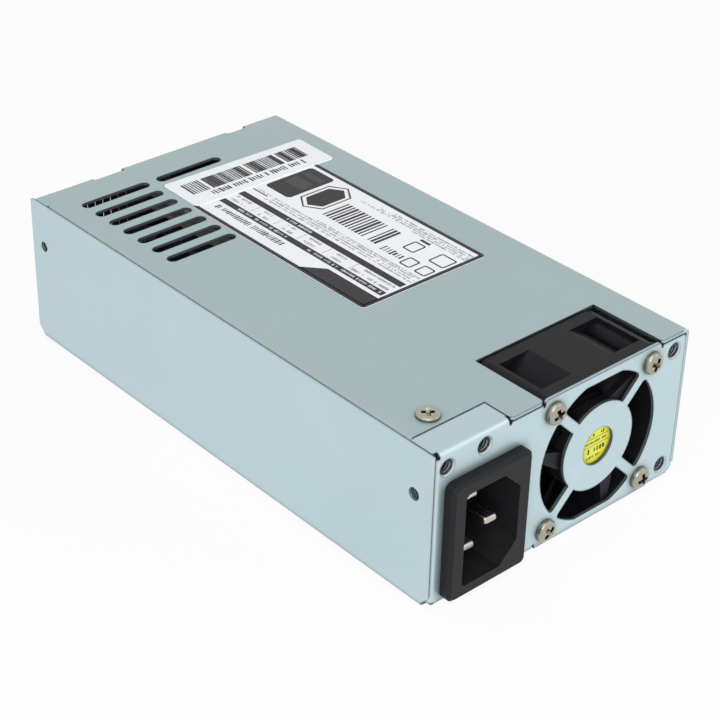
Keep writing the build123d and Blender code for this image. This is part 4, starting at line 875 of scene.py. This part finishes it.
def addThreads(values):
    tree = buildThreadTree(values["sizes"])
    for mount in frame["record"]["mounts"]:
        if mount["kind"] != "threaded_hole":
            continue
        axis, length = Vector(mount["axis"]), mount["dims"]["length_mm"] * mm
        lead = values["lead"] if mount["name"].startswith("rear") else -values["start"]
        mouth = Vector(mount["pos_m"]) + axis * length / 2 + axis * lead
        radius = mount["dims"]["r_mm"] * mm + values["sink"]
        sizes = {**values["sizes"], "Radius": radius, "Length": length + lead}
        mesh = pointsMesh([(mouth, -axis, 0.0)])
        madeByTree("thread_" + mount["name"], mesh, tree, sizes, "tapShadeSteel", "case_steel")


addThreads(tapThread)
print("threads made")

# Turns of wire on the ring chokes

chokeWires = {
    "rounding": 2.5 * mm,
    "chokes": {
        # radius of the hole, height of the base, radius of the wire, turns
        "line_choke": (5.0 * mm, 2.5 * mm, 0.42 * mm, 34),
        "boost_choke": (4.5 * mm, 2.0 * mm, 0.36 * mm, 36),
        "output_choke": (5.0 * mm, 2.0 * mm, 0.55 * mm, 26),
    },
}


def buildWireTree(rounding):
    tree, start, end = buildTree("chokeWire", {
        "Outer Radius": 12.0 * mm, "Hole Radius": 5.0 * mm, "Height": 13.0 * mm,
        "Rounding": rounding, "Wire Radius": 0.4 * mm, "Turns": 34,
    })
    middle = times(tree, maths(tree, "ADD", start["Outer Radius"], start["Hole Radius"]), 0.5)
    ring = addNode(tree, "GeometryNodeMeshCircle", {"Vertices": start["Turns"], "Radius": middle}).outputs[0]
    inputs = {"Width": less(tree, start["Outer Radius"], start["Hole Radius"]), "Height": start["Height"]}
    loop = addNode(tree, "GeometryNodeCurvePrimitiveQuadrilateral", inputs).outputs[0]
    inputs = {"Curve": loop, "Count": 4, "Radius": start["Rounding"], "Limit Radius": True}
    loop = addNode(tree, "GeometryNodeFilletCurve", inputs, mode="POLY").outputs[0]
    loops = onPoints(tree, ring, loop, alongAxes(tree, position(tree), (0, 0, 1), "XY"))
    loops = addNode(tree, "GeometryNodeRealizeInstances", {0: loops}).outputs[0]
    turns = swept(tree, loops, circle(tree, 7, start["Wire Radius"]))
    endTree(tree, start, end, standing(tree, start["Geometry"], turns), sharpAngle=1.5)
    return tree


def addChokeWires(values):
    tree = buildWireTree(values["rounding"])
    for node, (hole, base, wire, turns) in values["chokes"].items():
        low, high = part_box(node)
        height = high.z - low.z - base
        middle = ((low.x + high.x) / 2, (low.y + high.y) / 2, low.z + base + height / 2)
        sizes = {
            "Outer Radius": (high.x - low.x) / 2,
            "Hole Radius": hole,
            "Height": height,
            "Wire Radius": wire,
            "Turns": turns,
        }
        mesh = pointsMesh([(middle, (0, 0, 1), 0.0)])
        madeByTree(node + "_turns", mesh, tree, sizes, "choke_winding", "choke_winding")


addChokeWires(chokeWires)
print("choke wires wound")

# Dark sheet standing inside the far end, behind the intake slots and the bushing: painted shade that keeps the
# view through them dark

farShadeSheet = {
    # edges, bottom, top and rounding in mm
    "columns": [(-37.5, -33.2), (-13.6, 37.5)],
    "strips": (-33.0, -13.8, 8, 0.2),  # from, to, how many, and the slit between two
    "bottom": 6.2,
    "top": 38.6,
    "thickness": 0.2 * mm,
    "gap": 0.95 * mm,  # to the bushing's collar
    "waves": 0.08 * mm,
    "waveTurns": (210, 140),  # radians in a metre, across and up
    "cuts": 5,
    "rounding": 0.35,
}


def addFarShadeSheet(values):
    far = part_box("cable_bushing")[0].y - values["gap"]
    first, last, count, slit = values["strips"]
    step = (last - first) / count
    columns = values["columns"] + [(first + k * step, first + (k + 1) * step - slit) for k in range(count)]
    middle, half = (values["top"] + values["bottom"]) / 2, (values["top"] - values["bottom"]) / 2
    mesh = bmesh.new()
    for low, high in columns:
        outline = roundedOutline(((low + high) / 2, middle), ((high - low) / 2, half), values["rounding"])
        sheet = mesh.faces.new([mesh.verts.new((x * mm, far, z * mm)) for x, z in outline])
        bmesh.ops.triangulate(mesh, faces=[sheet])
    bmesh.ops.subdivide_edges(mesh, edges=mesh.edges[:], cuts=values["cuts"], use_grid_fill=True)
    across, up = values["waveTurns"]
    for vert in mesh.verts:
        vert.co.y += values["waves"] * math.sin(vert.co.x * across) * math.cos(vert.co.z * up)
        vert.normal_update()
    bmesh.ops.recalc_face_normals(mesh, faces=mesh.faces[:])
    bmesh.ops.solidify(mesh, geom=mesh.faces[:], thickness=values["thickness"])
    bmesh.ops.recalc_face_normals(mesh, faces=mesh.faces[:])
    madeOfFaces("farShadeSheet", mesh, "film", "film")


addFarShadeSheet(farShadeSheet)
print("far film standing")

# Print on the labels: plain bars, stripes and rows of ticks

inkThickness = 0.02 * mm
inkSink = 0.01 * mm
tickNames = ("Cell", "Height", "Thinnest", "Widest", "Shortest", "Share", "Seed")
heightSeed, keptSeed = 7, 13  # added to the seed of the widths


def tickSizes(cell, height, *others):
    return dict(zip(tickNames, (cell * mm, height * mm, *others)))


def buildStripeTree():
    sizes = {**tickSizes(0.6, 1.0, 0.3, 0.9, 0.6, 0.85, 1), "Facing": (0, 0, 1)}
    tree, start, end = buildTree("printedStripes", sizes)
    curve = addNode(tree, "GeometryNodeMeshToCurve", {0: start["Geometry"]}).outputs[0]
    inputs = {"Curve": curve, "Length": start["Cell"]}
    row = addNode(tree, "GeometryNodeResampleCurve", inputs, mode="LENGTH").outputs[0]
    tangent = addNode(tree, "GeometryNodeInputTangent").outputs[0]
    inputs = {2: start["Thinnest"], 3: start["Widest"], "Seed": start["Seed"]}
    width = addNode(tree, "FunctionNodeRandomValue", inputs).outputs[1]
    inputs = {2: start["Shortest"], 3: 1.0, "Seed": maths(tree, "ADD", start["Seed"], heightSeed)}
    height = addNode(tree, "FunctionNodeRandomValue", inputs).outputs[1]
    inputs = {"Probability": start["Share"], "Seed": maths(tree, "ADD", start["Seed"], keptSeed)}
    kept = addNode(tree, "FunctionNodeRandomValue", inputs, data_type="BOOLEAN").outputs[3]
    width, height = times(tree, width, start["Cell"]), times(tree, height, start["Height"])
    more = {"Selection": kept, "Scale": vector(tree, width, height, inkThickness + inkSink)}
    rotation = alongAxes(tree, start["Facing"], tangent, "ZX")
    endTree(tree, start, end, onPoints(tree, row, unitCube(tree), rotation, more))
    return tree


stripeTree = buildStripeTree()


def labelPlace(node, values):
    height = Vector((0, 0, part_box(node)[1].z))
    turn = Matrix.Rotation(math.radians(values["turn"]), 4, "Z")
    return Matrix.Translation(spot(*values["middle"]) + height) @ turn, values["middle"]


def onLabel(label, fromRear, fromLeft, height):
    place, middle = label
    return place @ Vector(((fromLeft - middle[0]) * mm, (fromRear - middle[1]) * mm, height))


def box(fromRear, toRear, fromLeft, toLeft):
    return [(fromRear, fromLeft), (toRear, fromLeft), (toRear, toLeft), (fromRear, toLeft)]


def hexagon(x, y, halfWidth, halfHeight, shoulder):
    shoulder *= halfHeight
    return [
        (x, y - halfHeight), (x + halfWidth, y - shoulder), (x + halfWidth, y + shoulder),
        (x, y + halfHeight), (x - halfWidth, y + shoulder), (x - halfWidth, y - shoulder),
    ]


def inkPlates(name, label, plates, rings, finish, lift=0.0):
    mesh = bmesh.new()
    low, high = lift - inkSink, lift + inkThickness
    for outline in plates:
        bottom = [mesh.verts.new(onLabel(label, *p, low)) for p in outline]
        top = [mesh.verts.new(onLabel(label, *p, high)) for p in outline]
        mesh.faces.new(bottom)
        mesh.faces.new(top)
        for k in range(len(outline)):
            mesh.faces.new((bottom[k - 1], bottom[k], top[k], top[k - 1]))
    for outer, inner in rings:
        loops = [
            [mesh.verts.new(onLabel(label, *p, height)) for p in outline]
            for outline, height in ((outer, low), (outer, high), (inner, high), (inner, low))
        ]
        for k in range(len(outer)):
            for a, b in zip(loops, loops[1:] + loops[:1]):
                mesh.faces.new((a[k - 1], a[k], b[k], b[k - 1]))
    bmesh.ops.recalc_face_normals(mesh, faces=mesh.faces[:])
    madeOfFaces(name, mesh, finish, "label_white")


def printRows(label, rows):
    for name, finish, lift, lines, sizes in rows:
        height = lift + inkThickness / 2
        ends = [(onLabel(label, *a, height), onLabel(label, *b, height)) for a, b in lines]
        madeByTree(name, linesMesh(ends), stripeTree, tickSizes(*sizes), finish, "label_white")


def along(*rows):
    return [((a, row), (b, row)) for row, a, b in rows]


# Places on a label are in mm, from the rear and then from the left. Only its middle is the other way round.

tableColumns = [(57.2, 70.0), (74.6, 77.6), (83.6, 88.0), (93.2, 96.6), (102.6, 106.0), (111.8, 117.0)]
ratingPrint = {
    "middle": (49.3, 87.4),
    "turn": -0.4,
    "width": 40.1,
    "length": 66.2,
    "margin": 0.05,
    "rounding": 0.9,
    "border": 1.2,
    "banner": [(55.2, 30.2), (79.2, 30.2), (73.7, 35.1), (55.2, 35.1)],
    "bars": [
        (56.2, 118.4, 36.4, 38.4), (56.2, 118.4, 42.6, 44.7), (112.4, 118.2, 47.2, 47.6),
        (66.9, 70.3, 61.9, 62.8),
    ],
    "frames": [(58.2, 52.5, 1.9, 2.1), (63.6, 52.5, 1.9, 2.1), (59.0, 59.2, 2.7, 2.6), (68.6, 58.6, 2.0, 2.4)],
    "frameLine": 0.45,
    "frameRounding": (0.7, 0.3),
    "hexagon": (102.4, 58.7, 4.5, 7.8),
    "hexagonLine": (0.4, 0.5),
    "hexagonPlate": (1.2, 1.6),  # how much smaller its plate is
    "shoulder": 0.62,
    "badge": (113.05, 58.95, 4.85, 7.95),
    "badgeRounding": 1.2,
    "badgeMarks": [(-3.6, 3.6, -2.8, 1.8), (-3.6, 3.6, 3.4, 5.6)],
    "dividers": [70.8, 80.6, 90.2, 99.8, 108.8],
    "dividerHalf": 0.08,
    "dividerSpan": (38.9, 42.3),
    # name, finish, lift, lines, and the sizes of their ticks in the order of tickNames
    "rows": [
        ("ratingTable", "paleInk", 0.0,
         along(*((row, a, b) for row in (39.6, 41.6) for a, b in tableColumns)),
         (0.62, 1.05, 0.3, 0.9, 0.6, 0.88, 3)),
        ("ratingFineText", "paleInk", 0.0,
         along((46.2, 56.4, 112.0), (47.2, 56.4, 110.0), (48.2, 56.4, 117.0), (49.0, 56.4, 94.0)),
         (0.5, 0.62, 0.3, 0.9, 0.6, 0.8, 11)),
        ("ratingFoot", "paleInk", 0.0,
         along((64.6, 55.8, 95.2), (63.7, 55.8, 75.0), (65.5, 55.6, 89.0), (66.4, 55.6, 84.0)),
         (0.55, 0.66, 0.3, 0.9, 0.6, 0.82, 5)),
        ("ratingStripes", "ink", 0.0, along((56.6, 76.3, 95.8)), (1.18, 8.8, 0.3, 0.8, 1.0, 0.95, 21)),
        ("ratingTitle", "ink", 0.0, along((34.3, 90.4, 117.0)), (0.8, 2.2, 0.3, 0.7, 0.55, 0.84, 4)),
        ("ratingMarks", "ink", 0.0, along((52.6, 66.8, 73.2)), (0.95, 2.6, 0.3, 0.75, 0.6, 0.8, 9)),
        ("ratingReversed", "reversedInk", inkThickness,
         along((37.4, 57.5, 84.0), (37.4, 92.0, 112.0), (43.7, 90.5, 99.5)),
         (0.62, 0.95, 0.25, 0.7, 0.6, 0.8, 14)),
    ],
}


def printRating(values):
    label = labelPlace("rating_label", values)
    fromLeft, fromRear = values["middle"]
    margin, border, rounding = values["margin"], values["border"], values["rounding"]
    half = (values["length"] / 2 - margin, values["width"] / 2 - margin)
    inner = (half[0] - border, half[1] - border)
    centre = (fromRear, fromLeft)
    rings = [(roundedOutline(centre, half, rounding), roundedOutline(centre, inner, rounding / 2))]
    plates = [values["banner"]] + [box(*bar) for bar in values["bars"]]
    line, (outside, within) = values["frameLine"], values["frameRounding"]
    for x, y, halfWidth, halfHeight in values["frames"]:
        rings.append((
            roundedOutline((x, y), (halfWidth, halfHeight), outside),
            roundedOutline((x, y), (halfWidth - line, halfHeight - line), within),
        ))
    x, y, halfWidth, halfHeight = values["hexagon"]
    outer, ringed, plate = (
        hexagon(x, y, halfWidth - side, halfHeight - end, values["shoulder"])
        for side, end in ((0.0, 0.0), values["hexagonLine"], values["hexagonPlate"])
    )
    rings.append((outer, ringed))
    plates.append(plate[::-1])
    x, y, *half = values["badge"]
    plates.append(roundedOutline((x, y), half, values["badgeRounding"]))
    inkPlates("ratingInk", label, plates, rings, "ink")
    # lighter marks over the dark ones
    marks = [box(x + a, x + b, y + c, y + d) for a, b, c, d in values["badgeMarks"]]
    inkPlates("ratingBadge", label, marks, [], "badgeInk", lift=inkThickness)
    thin = values["dividerHalf"]
    dividers = [box(x - thin, x + thin, *values["dividerSpan"]) for x in values["dividers"]]
    inkPlates("ratingDividers", label, dividers, [], "paleInk")
    printRows(label, values["rows"])


printRating(ratingPrint)

serialPrint = {
    "middle": (52.9, 126.2),
    "turn": -1.6,
    "rows": [
        ("serialTicks", "ink", 0.0, [((122.35, 38.2), (122.35, 67.8))], (0.86, 2.5, 0.3, 0.7, 0.6, 0.8, 16)),
        ("serialStripes", "ink", 0.0, [((127.5, 33.8), (127.5, 71.0))], (0.8, 6.2, 0.35, 1.1, 1.0, 0.9, 31)),
    ],
}
printRows(labelPlace("serial_label", serialPrint), serialPrint["rows"])

stickerPrint = {
    # above the middle, half the length of the row, size of a tick's cell, height of its ticks
    "rows": [(2.7, 2.6, 0.62, 1.0), (0.75, 3.6, 0.5, 0.7), (-1.5, 3.9, 0.95, 1.6), (-3.3, 2.4, 0.5, 0.7)],
    "lines": [(1.75, 4.0, 0.5, 0.12), (-0.2, 4.4, 0.5, 0.12)],
    # thinnest, widest, shortest, share
    "rowTicks": (0.35, 0.8, 0.6, 0.84),
    "lineTicks": (1.05, 1.1, 1.0, 1.0),
    "firstSeed": 40,
}


def printSticker(values):
    low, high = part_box("fan_label")
    x, z = (low.x + high.x) / 2, (low.z + high.z) / 2
    y = low.y - inkThickness / 2
    rows = [(*row, values["rowTicks"]) for row in values["rows"]]
    rows += [(*row, values["lineTicks"]) for row in values["lines"]]
    for index, (up, half, cell, height, ticks) in enumerate(rows):
        mesh = linesMesh([((x - half * mm, y, z + up * mm), (x + half * mm, y, z + up * mm))])
        sizes = {"Facing": (0.0, -1.0, 0.0), **tickSizes(cell, height, *ticks, values["firstSeed"] + index)}
        madeByTree("stickerRow" + str(index + 1), mesh, stripeTree, sizes, "ink", "label_yellow")


printSticker(stickerPrint)
print("labels printed")
